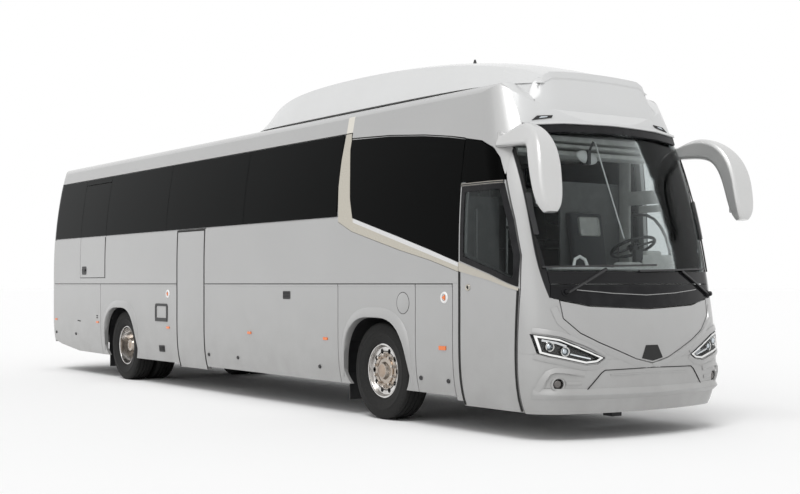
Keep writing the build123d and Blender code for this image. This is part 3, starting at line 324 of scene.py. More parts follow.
recipes = {
    "silverPaint": (silverPaint, {}),
    "maskPaint": (silverPaint, dict(blackAbove=blackMask)),
    # the outer mirrors' silver is paler than the body's, though it is the same paint: painted light on their
    # rounded heads
    "mirrorPaint": (silverPaint, dict(shade=(0.60, 0.60, 0.595))),
    "covePaint": (silverPaint, dict(chromeStrip=pillarStrip)),
    "roofPaint": (whitePaint, {}),
    "sideGlass": (coachGlass, dict(tint=(0.045, 0.047, 0.048), clearer=driverWindow, index=1.12)),
    "screenGlass": (coachGlass, dict(tint=(0.86, 0.88, 0.88), frit=screenBand)),
    "doorGlass": (coachGlass, dict(tint=(0.50, 0.52, 0.52))),
    "lampCover": (coachGlass, dict(tint=(0.96, 0.97, 0.97))),
    "tailLens": (lampGlass, dict(shade=(0.55, 0.02, 0.015), glow=0.1)),
    "amberLens": (lampGlass, dict(shade=(0.80, 0.165, 0.008), glow=0.08)),
    "whiteLens": (lampGlass, dict(shade=(0.85, 0.87, 0.9), glow=0.3)),
    "trimMetal": (brightMetal, dict(shade=(0.55, 0.52, 0.46), rough=0.25, brushed=1.0)),
    "beltMetal": (beltMetal, {}),
    "wheelMetal": (wheelMetal, {}),
    "nutMetal": (brightMetal, dict(shade=(0.62, 0.58, 0.54), rough=0.18)),
    "hubMetal": (brightMetal, dict(shade=(0.45, 0.36, 0.29), rough=0.24)),
    "steelMetal": (brightMetal, dict(shade=(0.55, 0.55, 0.55), rough=0.3)),
    "lampMirror": (brightMetal, dict(shade=(0.75, 0.75, 0.76), rough=0.08)),
    "eyeGlass": (brightMetal, dict(shade=(0.62, 0.66, 0.70), rough=0.03)),
    "fogGlass": (brightMetal, dict(shade=(0.17, 0.16, 0.155), rough=0.05)),
    "mirrorFace": (brightMetal, dict(shade=(0.55, 0.57, 0.58), rough=0.02)),
    "blackPlastic": (painted, dict(shade=(0.018, 0.018, 0.019), rough=0.45)),
    "glossBlack": (painted, dict(shade=(0.008, 0.008, 0.009), rough=0.12, grain=40.0, strength=0.03,
                                 gloss=0.16)),
    "chassisPaint": (painted, dict(shade=(0.03, 0.03, 0.032), rough=0.6, grain=60.0, strength=0.3)),
    "innerPlastic": (painted, dict(shade=(0.60, 0.60, 0.58), rough=0.6, grain=300.0, strength=0.2)),
    "whitePlastic": (painted, dict(shade=(0.78, 0.78, 0.77), rough=0.35, grain=200.0, strength=0.05)),
    "rimWhite": (painted, dict(shade=(0.80, 0.80, 0.79), rough=0.18, grain=120.0, strength=0.03)),
    "lampShell": (painted, dict(shade=(0.030, 0.028, 0.027), rough=0.25, grain=60.0, strength=0.1)),
    # near-black sheets in holes, slots and behind grilles and vents: painted shade for their dark insides
    "darkHole": (painted, dict(shade=(0.006, 0.006, 0.006), rough=0.7, grain=120.0, strength=0.2)),
    "floorCover": (painted, dict(shade=(0.16, 0.16, 0.17), rough=0.7, grain=400.0, strength=0.3)),
    "curtainCloth": (painted, dict(shade=(0.22, 0.22, 0.22), rough=0.9, grain=400.0, strength=0.3, gloss=0.2)),
    "headCloth": (painted, dict(shade=(0.62, 0.62, 0.60), rough=0.9, grain=500.0, strength=0.3)),
    "seatCloth": (seatCloth, {}),
    "tyreRubber": (rubber, dict(shade=0.011)),
    "flapRubber": (rubber, dict(shade=0.012)),
}
finishes = {name: maker(name, **values) for name, (maker, values) in recipes.items()}
nodeFinish = {
    "silverPaint": "side_wall_right side_wall_left skirt_panels luggage_flap_right luggage_flap_left"
                   " service_flap engine_flap_right engine_flap_left emergency_hatch rear_wall rear_bumper"
                   " engine_lid front_lid front_door mid_door front_bumper",
    # the mirrors take the paler silver, which is painted light
    "mirrorPaint": "mirrors",
    "maskPaint": "front_mask",
    "covePaint": "roof_coves",
    "roofPaint": "roof roof_cap roof_pod roof_hatch",
    "sideGlass": "windows emergency_hatch_glass",
    "screenGlass": "windscreen",
    "doorGlass": "front_door_glass",
    "lampCover": "front_lamps",
    "tailLens": "tail_lamps",
    "beltMetal": "belt_trim",
    "wheelMetal": "rim_front_right rim_front_left rim_rear_right rim_rear_left",
    "steelMetal": "knuckle_right knuckle_left tie_rod front_door_arm mid_door_arm",
    "blackPlastic": "wipers steering_wheel wheel_arches",
    "glossBlack": "wiper_cowl",
    "chassisPaint": "chassis_frame axles engine tanks seat_frames",
    "innerPlastic": "dashboard luggage_racks entrance_steps",
    "curtainCloth": "partitions",
    "floorCover": "floors",
    "tyreRubber": "tyre_front_right tyre_front_left tyre_rear_right tyre_rear_left",
    "seatCloth": "seat_cushions seat_backs",
}
for look, names in nodeFinish.items():
    for node in names.split():
        part = bpy.data.objects[node]
        for holder in part.material_slots:
            holder.material = finishes[look]
        if not part.material_slots:
            part.data.materials.append(finishes[look])
print("finishes done")


def piece(name, bm, look, body="root", slot=None):
    bmesh.ops.remove_doubles(bm, verts=bm.verts, dist=0.00001)
    bmesh.ops.recalc_face_normals(bm, faces=bm.faces)
    mesh = bpy.data.meshes.new(name)
    bm.to_mesh(mesh)
    bm.free()
    made = bpy.data.objects.new(name, mesh)
    bpy.context.scene.collection.objects.link(made)
    made.data.materials.append(finishes[look])
    mesh.shade_smooth()
    mesh.set_sharp_from_angle(angle=math.radians(35))
    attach(made, body)
    return made


def blocks(*rows):  # rows of (low corner, high corner, bevel, segments)
    bm = bmesh.new()
    for low, high, bevel, segments in rows:
        made = bmesh.ops.create_cube(bm, size=1.0)["verts"]
        bmesh.ops.scale(bm, verts=made, vec=[b - a for a, b in zip(low, high)])
        bmesh.ops.translate(bm, verts=made, vec=[(a + b) / 2 for a, b in zip(low, high)])
        edges = list({e for v in made for e in v.link_edges})
        bmesh.ops.bevel(bm, geom=edges, offset=bevel, segments=segments, affect="EDGES", profile=0.5,
                        material=-1)
    return bm


def spun(profile, steps=48):  # a turned shape from (radius, height) points, standing on its axis
    bm = bmesh.new()
    verts = [bm.verts.new((radius, 0.0, height)) for radius, height in profile]
    edges = [bm.edges.new(pair) for pair in zip(verts[:-1], verts[1:])]
    bmesh.ops.spin(bm, geom=verts + edges, cent=(0, 0, 0), axis=(0, 0, 1), angle=2 * math.pi, steps=steps,
                   use_merge=True, use_duplicate=False)
    bmesh.ops.remove_doubles(bm, verts=bm.verts, dist=0.00001)
    return bm


def stand(bm, centre, axis):  # puts a shape that stands on its axis in place
    turn = Vector((0, 0, 1)).rotation_difference(Vector(axis)).to_matrix().to_4x4()
    bmesh.ops.transform(bm, matrix=Matrix.Translation(centre) @ turn, verts=bm.verts)
    return bm


def gather(shapes):  # several shapes as one
    whole = bmesh.new()
    for bm in shapes:
        mesh = bpy.data.meshes.new("shape")
        bm.to_mesh(mesh)
        bm.free()
        whole.from_mesh(mesh)
        bpy.data.meshes.remove(mesh)
    return whole


def spunPiece(name, profile, centre, axis, look, body="root", slot=None, steps=48):
    return piece(name, stand(spun(profile, steps), centre, axis), look, body, slot)


def tube(points, radius):  # a bar along points
    curve = bpy.data.curves.new("bar", "CURVE")
    curve.dimensions = "3D"
    curve.bevel_depth = radius
    curve.bevel_resolution = 2
    curve.use_fill_caps = True
    line = curve.splines.new("POLY")
    line.points.add(len(points) - 1)
    for point, place in zip(line.points, points):
        point.co = (*place, 1.0)
    holder = bpy.data.objects.new("bar", curve)
    mesh = bpy.data.meshes.new_from_object(holder)
    bm = bmesh.new()
    bm.from_mesh(mesh)
    bpy.data.objects.remove(holder)
    bpy.data.meshes.remove(mesh)
    return bm


def skinOf(names):
    bm = bmesh.new()
    for name in names.split():
        bm.from_mesh(bpy.data.objects[name].data)
    return BVHTree.FromBMesh(bm)


# sheets and fittings are cut flat and then laid on this skin
outerSkin = skinOf(nodeFinish["silverPaint"] + " front_mask roof_coves windows windscreen wiper_cowl"
                   " front_lamps front_door_glass emergency_hatch_glass tail_lamps belt_trim roof roof_cap")
rays = dict(probe=0.013, side=3.0, end=9.0, top=6.0)  # a ray's neighbours, and how far out rays start


def cast(at, along, across):
    # the outermost skin near a point, met along a direction; neighbours keep a ray from falling into a gap
    best = None
    steps = [rays["probe"] * way for way in across]
    for shift in (Vector(), steps[0], -steps[0], steps[1], -steps[1]):
        place, normal, _, distance = outerSkin.ray_cast(at + shift, along)
        if place is not None and (best is None or distance < best[0]):
            best = (distance, normal)
    return (at + along * best[0], best[1]) if best else (None, None)


def onFlank(side):
    across = (Vector((1, 0, 0)), Vector((0, 0, 1)))
    return lambda a, b: cast(Vector((a, rays["side"] * side, b)), Vector((0, -side, 0)), across)


def onEnd(way):  # way is 1 at the nose and -1 at the tail
    across = (Vector((0, 1, 0)), Vector((0, 0, 1)))
    return lambda a, b: cast(Vector((rays["end"] * way, a, b)), Vector((-way, 0, 0)), across)


right, left, nose, tail = onFlank(-1), onFlank(1), onEnd(1), onEnd(-1)


def rounded(points, radius, steps=5):  # an outline with its corners turned to curves
    made = []
    for n, corner in enumerate(points):
        before, after = Vector(points[n - 1]), Vector(points[(n + 1) % len(points)])
        corner = Vector(corner)
        reach = min(radius, *(0.45 * (other - corner).length for other in (before, after)))
        start = corner + (before - corner).normalized() * reach
        end = corner + (after - corner).normalized() * reach
        for k in range(steps + 1):
            t = k / steps
            made.append(tuple((1 - t) ** 2 * start + 2 * t * (1 - t) * corner + t ** 2 * end))
    return made


def oblong(low, high, foot, head, corner=0.0, steps=5):
    points = [(low, foot), (high, foot), (high, head), (low, head)]
    return rounded(points, corner, steps) if corner else points


def band(points, width):  # the outline of a band of a width along points
    ahead, behind = [], []
    for n, point in enumerate(points):
        along = (Vector(points[min(n + 1, len(points) - 1)]) - Vector(points[max(n - 1, 0)])).normalized()
        across = Vector((-along.y, along.x)) * width / 2
        ahead.append(tuple(Vector(point) + across))
        behind.append(tuple(Vector(point) - across))
    return ahead + behind[::-1]


def shrink(points, share):  # an outline drawn towards its middle
    middle = sum((Vector(p) for p in points), Vector((0, 0))) / len(points)
    return [tuple(middle + (Vector(p) - middle) * share) for p in points]


def mirrorPair(points):  # an outline of the right-hand side and its mirror image
    return [points, [(-a, b) for a, b in reversed(points)]]


def ofSide(side, points):  # points given for the side at +Y, moved to a side
    return [(side * a, b) for a, b in points]


def arched(points):  # points from the middle outwards, with their mirror image before them
    return [(-a, b) for a, b in reversed(points) if a] + points


def sheet(outlines, height, rim=0.0, cell=0.12):
    # flat outlines, or frames of a width inside them, cut into cells and made as thick as height
    bm = bmesh.new()
    for outline in outlines:
        face = bm.faces.new([bm.verts.new((a, b, 0.0)) for a, b in outline])
        if rim:
            bm.normal_update()
            bmesh.ops.inset_region(bm, faces=[face], thickness=rim, use_even_offset=True, use_boundary=True)
            bmesh.ops.delete(bm, geom=[face], context="FACES_ONLY")
    for axis in (0, 1):
        places = [v.co[axis] for v in bm.verts]
        count = int((max(places) - min(places)) / cell)
        for k in range(1, count + 1):
            at, facing = Vector(), Vector()
            at[axis] = min(places) + k * (max(places) - min(places)) / (count + 1)
            facing[axis] = 1.0
            whole = bm.verts[:] + bm.edges[:] + bm.faces[:]
            bmesh.ops.bisect_plane(bm, geom=whole, plane_co=at, plane_no=facing)
    lifted = bmesh.ops.extrude_face_region(bm, geom=bm.faces[:])["geom"]
    bmesh.ops.translate(bm, verts=[v for v in lifted if isinstance(v, bmesh.types.BMVert)], vec=(0, 0, height))
    return bm


def sheetPiece(name, surface, outlines, height, look, body="root", slot=None, rim=0.0, sink=0.002, cell=0.12):
    # a sheet as high as height above the skin, with its foot sunk into it
    bm = sheet(outlines, height + sink, rim, cell)
    for v in bm.verts:
        place, normal = surface(v.co.x, v.co.y)
        v.co = place + normal * (v.co.z - sink)
    return piece(name, bm, look, body, slot)


def sheetPieces(surface, sheets):  # rows of outlines, height and look, then perhaps a body and named values
    for name, row in sheets.items():
        named = row[-1] if isinstance(row[-1], dict) else {}
        sheetPiece(name, surface, *(row[:-1] if named else row), **named)


def bridge(bm, rails):  # faces between rows of points
    loops = [[bm.edges.new(pair) for pair in zip(rail[:-1], rail[1:])] for rail in rails]
    for low, high in zip(loops[:-1], loops[1:]):
        bmesh.ops.bridge_loops(bm, edges=low + high)


def faceOut(made, outward):  # turns an open strip's faces over where they look inwards on the whole
    if sum(p.normal.dot(outward) * p.area for p in made.data.polygons) < 0:
        made.data.flip_normals()


def ridge(name, surface, points, profile, look="silverPaint"):
    # a raised line along points; profile holds (distance across, lift) from one foot to the other
    bm = bmesh.new()
    fine = []
    for a, b in zip(points[:-1], points[1:]):
        count = max(1, int((Vector(b) - Vector(a)).length / 0.05))  # 50 mm steps or so
        fine += [Vector(a).lerp(Vector(b), k / count) for k in range(count)]
    fine.append(Vector(points[-1]))
    rails = []
    for across, lift in profile:
        rail = []
        for n, point in enumerate(fine):
            along = (fine[min(n + 1, len(fine) - 1)] - fine[max(n - 1, 0)]).normalized()
            spot = point + Vector((-along.y, along.x)) * across
            place, normal = surface(spot.x, spot.y)
            fade = min(1.0, 0.1 + 0.45 * n, 0.1 + 0.45 * (len(fine) - 1 - n))  # lower towards both ends
            rail.append(bm.verts.new(place + normal * (lift * fade if lift > 0 else lift)))
        rails.append(rail)
    bridge(bm, rails)
    made = piece(name, bm, look)
    faceOut(made, surface(*fine[len(fine) // 2])[1])


# small lamps and fittings on both flanks; the flaps that carry them are named without their side
fittings = dict(
    # x, z, half length, half height and body
    markers=((4.894, 0.805, 0.055, 0.020, "service_flap"), (2.70, 0.82, 0.045, 0.016, "luggage_flap"),
             (0.90, 0.828, 0.045, 0.016, "luggage_flap"), (-1.495, 0.826, 0.045, 0.016, "root"),
             (-4.108, 0.838, 0.045, 0.016, "engine_flap"), (-5.941, 0.843, 0.040, 0.016, "engine_flap")),
    # x, z and body
    knobs=((4.507, 0.49, "service_flap"), (4.965, 0.485, "service_flap"), (0.562, 0.507, "luggage_flap"),
           (-0.254, 0.509, "luggage_flap"), (2.55, 0.50, "luggage_flap"), (-5.947, 0.629, "engine_flap"),
           (-5.047, 0.628, "engine_flap")),
    reflectors=((4.921, 1.297, "service_flap"), (-1.505, 1.292, "root")),
    # body, and x from and to
    beads=(("luggage_flap", -0.35, 2.958), ("service_flap", 4.44, 5.05), ("root", 2.968, 4.43),
           ("root", -3.975, -1.22), ("engine_flap", -6.02, -3.985)),
    beadZ=(1.404, 1.421), beadGap=0.004,
    fuelFlap=(4.216, 1.235),
)
# turned shapes of these fittings, as (radius, height over the skin)
turned = dict(
    knob=[(0.0, 0.006), (0.0132, 0.0065), (0.01488, 0.010), (0.0204, 0.010), (0.024, 0.0), (0.024, -0.004)],
    reflectorRing=[(0.034, 0.004), (0.040, 0.009), (0.052, 0.008), (0.058, 0.0), (0.058, -0.004)],
    reflectorDisc=[(0.0, 0.004), (0.028, 0.004), (0.035, 0.002), (0.035, -0.004)],
    fuelFlap=[(0.0, 0.003), (0.103, 0.003), (0.107, 0.001), (0.107, -0.004)],
    fuelJoint=[(0.107, 0.0012), (0.113, 0.0012), (0.113, -0.004)],
)
archLip = dict(
    feet=0.735, shoulders=0.520, top=1.085, corner=0.42, lowest=0.36, turnZ=0.60, skinAt=0.06,
    profile=((0.100, -0.001), (0.085, 0.012), (0.045, 0.026), (0.010, 0.034), (-0.006, 0.031), (-0.012, 0.018),
             (-0.012, -0.05)),  # out from the opening, and proud of the side
    fade=(0.40, 0.90),  # the lip grows to its full size between these heights
)


def sideName(name, tag, x):
    return "%s_%s_%d" % (name, tag, round(x * 100))


def sideBody(name, side):  # the service flap is on the right-hand side only
    if name in ("root", "service_flap"):
        return name if side < 0 else "root"
    return name + ("_right" if side < 0 else "_left")


def archLipShape(flank, side, axleX):
    feet, shoulders, top = archLip["feet"], archLip["shoulders"], archLip["top"]
    corners = [(axleX - feet, 0.0), (axleX - shoulders, top), (axleX + shoulders, top), (axleX + feet, 0.0)]
    opening = []
    for point in rounded(corners, archLip["corner"], 9):
        if point[1] > archLip["lowest"]:
            out = (Vector(point) - Vector((axleX, min(point[1], archLip["turnZ"])))).normalized()
            spot = Vector(point) + out * archLip["skinAt"]
            opening.append((Vector(point), out, flank(spot.x, spot.y)[0].y))
    bm = bmesh.new()
    rails = []
    low, full = archLip["fade"]
    for grow, lift in archLip["profile"]:
        rail = []
        for point, out, depth in opening:
            fade = min(1.0, max(0.15, (point.y - low) / (full - low)))
            spot = point + out * grow * (fade if grow > 0 else 1.0)
            rail.append(bm.verts.new((spot.x, depth + side * lift * (fade if lift > 0 else 1.0), spot.y)))
        rails.append(rail)
    bridge(bm, rails)
    return bm


for side, tag, flank in ((-1, "right", right), (1, "left", left)):
    for x, z, halfLength, halfHeight, body in fittings["markers"]:
        outline = oblong(x - halfLength, x + halfLength, z - halfHeight, z + halfHeight, 0.008, 2)
        sheetPiece(sideName("marker", tag, x), flank, [outline], 0.009, "amberLens", sideBody(body, side))
    for x, z, body in fittings["knobs"]:
        spunPiece(sideName("knob", tag, x), turned["knob"], *flank(x, z), "blackPlastic", sideBody(body, side),
                  steps=24)
    for x, z, body in fittings["reflectors"]:
        place, normal = flank(x, z)
        body = sideBody(body, side)
        ring, disc = turned["reflectorRing"], turned["reflectorDisc"]
        spunPiece(sideName("reflectorRing", tag, x), ring, place, normal, "whitePlastic", body)
        spunPiece(sideName("reflectorDisc", tag, x), disc, place, normal, "steelMetal", body, "lamp")
        # the reflector's amber triangle takes the lamp glass, so it glows a little though it is no lamp:
        # painted light
        triangle = [(x - 0.030, z), (x + 0.018, z - 0.027), (x + 0.018, z + 0.027)]
        sheetPiece(sideName("reflector", tag, x), flank, [triangle], 0.010, "amberLens", body)
    for n, (body, low, high) in enumerate(fittings["beads"]):
        bead = oblong(low + fittings["beadGap"], high - fittings["beadGap"], *fittings["beadZ"])
        sheetPiece("waistBead_%s_%d" % (tag, n), flank, [bead], 0.004, "silverPaint", sideBody(body, side),
                   cell=0.5)
    place, normal = flank(*fittings["fuelFlap"])
    spunPiece("fuelFlap_" + tag, turned["fuelFlap"], place, normal, "silverPaint")
    spunPiece("fuelJoint_" + tag, turned["fuelJoint"], place, normal, "flapRubber", slot="body_paint")
    for end in ("front", "rear"):
        lip = piece("archLip_%s_%s" % (end, tag), archLipShape(flank, side, axle[end]), "silverPaint")
        faceOut(lip, Vector((0, side, 0)))

rightSheets = dict(
    ventFrame=([oblong(1.742, 1.908, 1.252, 1.346, 0.012, 2)], 0.005, "blackPlastic", "luggage_flap_right",
               dict(rim=0.012)),
    ventSlats=([oblong(1.755, 1.895, 1.268 + 0.017 * k, 1.276 + 0.017 * k) for k in range(4)], 0.004,
               "blackPlastic", "luggage_flap_right"),
    # the dark sheet behind the vent's slats is painted shade
    ventBack=([oblong(1.752, 1.898, 1.26, 1.338)], 0.0012, "darkHole", "luggage_flap_right"),
    sideFlapFrame=([oblong(-1.92, -1.51, 0.905, 1.155, 0.05, 4)], 0.009, "blackPlastic", dict(rim=0.036)),
    sideFlapFoot=([oblong(-1.91, -1.52, 0.905, 0.955)], 0.011, "blackPlastic"),
    skirtSocket=([oblong(-1.815, -1.635, 0.479, 0.572, 0.02, 3)], 0.006, "blackPlastic"),
    skirtSocketFlap=([oblong(-1.79, -1.66, 0.495, 0.556, 0.012, 2)], 0.010, "darkHole"),
    hatchHandle=([oblong(-4.755, -4.585, 1.575, 1.705, 0.025, 3)], 0.006, "blackPlastic", "emergency_hatch"),
    hatchPull=([oblong(-4.735, -4.605, 1.625, 1.66, 0.01, 2)], 0.016, "glossBlack", "emergency_hatch"),
)
# the drain slots are dark sheets: painted shade
for n, (x, z) in enumerate(((-4.93, 0.842), (-4.86, 0.838), (-4.12, 0.905), (-4.12, 0.935))):
    slotOutline = oblong(x - 0.03, x + 0.03, z - 0.009, z + 0.009, 0.009, 3)
    rightSheets["drainSlot_%d" % n] = ([slotOutline], 0.002, "darkHole", "engine_flap_right")
sheetPieces(right, rightSheets)

doorLock = dict(
    place=(5.299, 1.396),
    ring=[(0.0, 0.004), (0.018, 0.004), (0.021, 0.010), (0.030, 0.009), (0.034, 0.0), (0.034, -0.004)],
    hole=[(0.0, 0.0055), (0.016, 0.0055), (0.016, 0.0)],
)
place, normal = right(*doorLock["place"])
spunPiece("doorLock", doorLock["ring"], place, normal, "trimMetal", "front_door", steps=32)
# the lock's dark hole is painted shade
spunPiece("doorLockHole", doorLock["hole"], place, normal, "darkHole", "front_door", steps=24)

# frame and strip of the front door's glass, and the rubbers at both doors and the hatch
frontGlass = [(5.172, 1.650), (5.633, 1.520), (5.993, 1.404), (5.988, 1.688), (5.898, 2.015), (5.766, 2.360),
              (5.172, 2.360)]
frontStrip = [(5.157, 1.552), (5.633, 1.462), (5.998, 1.368), (5.998, 1.392), (5.633, 1.511), (5.157, 1.641)]
doorSheets = dict(
    doorStrip=([frontStrip], 0.006, "trimMetal", "front_door"),
    doorGlassFrame=([frontGlass], 0.002, "glossBlack", "front_door", dict(rim=0.055, cell=0.07)),
    doorHead=([oblong(5.157, 5.757, 2.362, 2.391)], 0.004, "blackPlastic", "front_door"),
    doorHeadLine=([oblong(5.165, 5.75, 2.384, 2.388), oblong(5.165, 5.75, 2.366, 2.369)], 0.008, "trimMetal",
                  "front_door"),
)
rubbers = dict(
    doorRubberRear=("front_door", [(5.150, 0.27), (5.180, 0.27), (5.180, 1.545), (5.150, 1.552)]),
    doorRubberFront=("front_door", oblong(5.982, 6.003, 0.27, 1.386)),
    midRubberRear=("mid_door", oblong(-1.209, -1.192, 0.305, 2.15)),
    midRubberFront=("mid_door", oblong(-0.378, -0.361, 0.305, 2.15)),
    midRubberHead=("mid_door", oblong(-1.209, -0.361, 2.130, 2.152)),
    hatchRubber=("emergency_hatch", oblong(-3.815, -3.801, 1.53, 2.15)),
)
for name, (body, outline) in rubbers.items():
    doorSheets[name] = ([outline], 0.003, "flapRubber", body)
sheetPieces(right, doorSheets)
print("flank fittings done")

# the nose, with outlines and lines as (y, z); what stands on both sides is given for the side at +Y
front = dict(
    lamp=[(-1.199, 0.975), (-0.983, 0.935), (-0.56, 0.758), (-0.636, 0.717), (-0.751, 0.707), (-1.093, 0.783),
          (-1.168, 0.808)],
    ledge=[(0.0, 0.424), (0.76, 0.428), (1.19, 0.435)],
    ledgeProfile=[(-0.045, -0.001), (-0.012, 0.022), (0.0, 0.028), (0.008, 0.027), (0.030, 0.008),
                  (0.055, -0.001)],
    # each row: points from outside to inside, then (distance across, lift); a positive distance is downwards
    ridges=(
        ([(1.150, 0.446), (1.118, 0.560), (1.088, 0.618), (1.050, 0.634), (0.960, 0.628), (0.770, 0.600)],
         [(-0.045, -0.001), (-0.010, 0.012), (0.0, 0.015), (0.012, -0.001)]),
        ([(0.945, 0.530), (0.80, 0.530)],
         [(-0.020, -0.001), (-0.004, 0.012), (0.004, 0.012), (0.016, -0.001)]),
        ([(1.190, 0.800), (1.095, 0.768), (0.760, 0.690), (0.640, 0.700), (0.545, 0.752)],
         [(-0.004, -0.001), (0.0, 0.012), (0.012, 0.012), (0.045, -0.001)]),
        ([(1.200, 0.990), (0.983, 0.950), (0.760, 0.868), (0.555, 0.772)],
         [(-0.050, -0.001), (-0.012, 0.013), (-0.004, 0.013), (0.004, -0.001)]),
        ([(0.985, 1.230), (0.945, 1.110), (0.800, 0.985), (0.600, 0.890), (0.400, 0.812), (0.215, 0.740),
          (0.0, 0.692)],
         [(-0.001, -0.002), (0.006, 0.012), (0.020, 0.014), (0.070, -0.001)]),
    ),
)
lampEyes = dict(
    places=((1.085, 0.868), (0.945, 0.822)), aim=0.25,
    # turned shape, depth behind the cover and look; then line, width, height and look
    parts=(("lampRing", [(0.034, 0.0), (0.034, 0.016), (0.044, 0.018), (0.048, 0.0)], 0.032, "wheelMetal"),
           ("lampEye", [(0.0, 0.020), (0.016, 0.018), (0.028, 0.010), (0.034, 0.0)], 0.028, "eyeGlass")),
    bars=dict(dayBar=([(0.895, 0.797), (0.80, 0.774), (0.70, 0.752)], 0.012, -0.012, "whiteLens"),
              turnBar=([(1.14, 0.925), (1.02, 0.900), (0.93, 0.868)], 0.020, -0.014, "lampMirror")),
)
fogLamp = dict(
    y=1.011, z=0.527, aimInward=0.075,
    ring=[(0.050, -0.006), (0.052, 0.006), (0.060, 0.010), (0.070, 0.006), (0.073, -0.006)],
    eye=[(0.0, 0.004), (0.020, 0.002), (0.036, -0.006), (0.046, -0.018)],
    bowl=[(0.052, -0.004), (0.048, -0.016), (0.0, -0.020)],
)
lampSheets = dict(
    lampHousing=(mirrorPair(shrink(front["lamp"], 0.97)), -0.041, "lampShell", dict(sink=0.047, cell=0.06)),
    lampRim=(mirrorPair(shrink(front["lamp"], 0.965)), 0.004, "rimWhite",
             dict(slot="lamp", rim=0.017, cell=0.06)),
    lampSeal=(mirrorPair(shrink(front["lamp"], 1.01)), 0.003, "glossBlack", dict(rim=0.008, cell=0.06)),
)
sheetPieces(nose, lampSheets)
for side in (-1, 1):
    for n, (y, z) in enumerate(lampEyes["places"]):
        place, normal = nose(side * y, z)
        aim = Vector((1.0, side * lampEyes["aim"], 0.0)).normalized()
        for name, shape, depth, look in lampEyes["parts"]:
            spunPiece("%s_%d_%d" % (name, n, side + 1), shape, place - normal * depth, aim, look)
    for name, (line, width, height, look) in lampEyes["bars"].items():
        sheetPiece("%s_%d" % (name, side), nose, [band(ofSide(side, line), width)], height, look, sink=0.028)
    fogY, fogZ = side * fogLamp["y"], fogLamp["z"]
    centre = Vector((nose(fogY, fogZ)[0].x, fogY, fogZ))
    normal = nose(fogY - side * fogLamp["aimInward"], fogZ)[1]
    spunPiece("fogRing_%d" % side, fogLamp["ring"], centre, normal, "silverPaint", slot="rim")
    spunPiece("fogEye_%d" % side, fogLamp["eye"], centre, normal, "fogGlass")
    spunPiece("fogBowl_%d" % side, fogLamp["bowl"], centre, normal, "lampShell")
    for n, (line, profile) in enumerate(front["ridges"]):
        ridge("noseRidge_%d_%d" % (n, side), nose, ofSide(side, line), ofSide(side, profile))
ridge("bumperLedge", nose, arched(front["ledge"]), front["ledgeProfile"])

noseSheets = dict(
    bumperSeam=([band(arched([(0.0, 0.655), (0.56, 0.645), (0.60, 0.620), (0.738, 0.474)]), 0.008)], 0.003,
                "flapRubber", dict(cell=0.06)),
    bumperCrease=([band(arched([(0.0, 0.606), (0.50, 0.600)]), 0.010)], 0.004, "silverPaint", dict(cell=0.08)),
    # the lid's socket is a dark sheet: painted shade
    lidSocket=([[(-0.075, 0.862), (0.075, 0.862), (0.135, 0.742), (0.0, 0.716), (-0.135, 0.742)]], 0.003,
               "darkHole", "front_lid", dict(cell=0.05)),
    cowlLine=([band(arched([(0.0, 1.326), (0.40, 1.343), (0.78, 1.375)]), 0.005)], 0.004, "silverPaint",
              dict(cell=0.06, slot="trim")),
    visorLip=([band(arched([(0.0, 2.898), (0.60, 2.888), (0.93, 2.862)]), 0.080)], 0.030, "glossBlack",
              dict(cell=0.08)),
    visorEdge=([band(arched([(0.0, 2.945), (0.60, 2.935), (0.94, 2.908)]), 0.022)], 0.045, "roofPaint",
               dict(cell=0.08)),
)
for side in (-1, 1):
    marker = ofSide(side, [(0.895, 2.962), (0.685, 2.995), (0.665, 3.020), (0.83, 3.008)])
    screenEdge = ofSide(side, [(1.098, 2.74), (1.098, 2.40), (1.100, 2.10), (1.095, 1.87), (1.084, 1.55)])
    clip = band(ofSide(side, [(1.084, 2.26), (1.088, 2.08), (1.080, 1.875)]), 0.040)
    noseSheets.update({
        # the marker's dark slot is painted shade
        "markerSlot_%d" % side: ([marker], 0.003, "darkHole"),
        "markerLens_%d" % side: ([shrink(marker, 0.42)], 0.005, "eyeGlass"),
        "screenRubber_%d" % side: ([band(screenEdge, 0.014)], 0.010, "flapRubber", dict(cell=0.10)),
        "screenClip_%d" % side: ([rounded(clip, 0.012, 2)], 0.020, "blackPlastic", dict(cell=0.10)),
    })
sheetPieces(nose, noseSheets)

wiperPivots = dict(
    places=((-0.89, 1.357), (1.023, 1.330)),
    profile=[(0.0, 0.042), (0.018, 0.040), (0.024, 0.030), (0.026, 0.008), (0.038, 0.004), (0.040, -0.004)],
)
for n, spot in enumerate(wiperPivots["places"]):
    spunPiece("wiperPivot_%d" % n, wiperPivots["profile"], *nose(*spot), "glossBlack", steps=24)
print("nose fittings done")

# a dark slot on the brow: painted shade
browSlot = [(-0.74, 3.300), (-0.52, 3.322), (-0.29, 3.332), (-0.28, 3.312), (-0.52, 3.296), (-0.72, 3.276)]
sheetPiece("browSlot", nose, [browSlot], 0.006, "darkHole")
aerials = dict(feet=((5.62, -0.23, 3.385), (3.9, -0.10, 3.80)), lift=0.03, widths=(0.042, 0.010), height=0.09,
               flatness=(1.25, 0.5, 1.0))
for n, foot in enumerate(aerials["feet"]):
    bm = bmesh.new()
    lowWidth, highWidth = aerials["widths"]
    bmesh.ops.create_cone(bm, cap_ends=True, segments=20, radius1=lowWidth, radius2=highWidth,
                          depth=aerials["height"])
    bmesh.ops.scale(bm, verts=bm.verts, vec=aerials["flatness"])
    bmesh.ops.translate(bm, verts=bm.verts, vec=Vector(foot) + Vector((0, 0, aerials["lift"])))
    piece("aerial_%d" % n, bm, "blackPlastic")

# a smooth skin over the joint of roof pod and brow
fairing = dict(x=(5.15, 5.80), y=(-0.80, 0.80), cells=(36, 22), proud=0.0015, rimDown=0.012,
               reach=0.03)


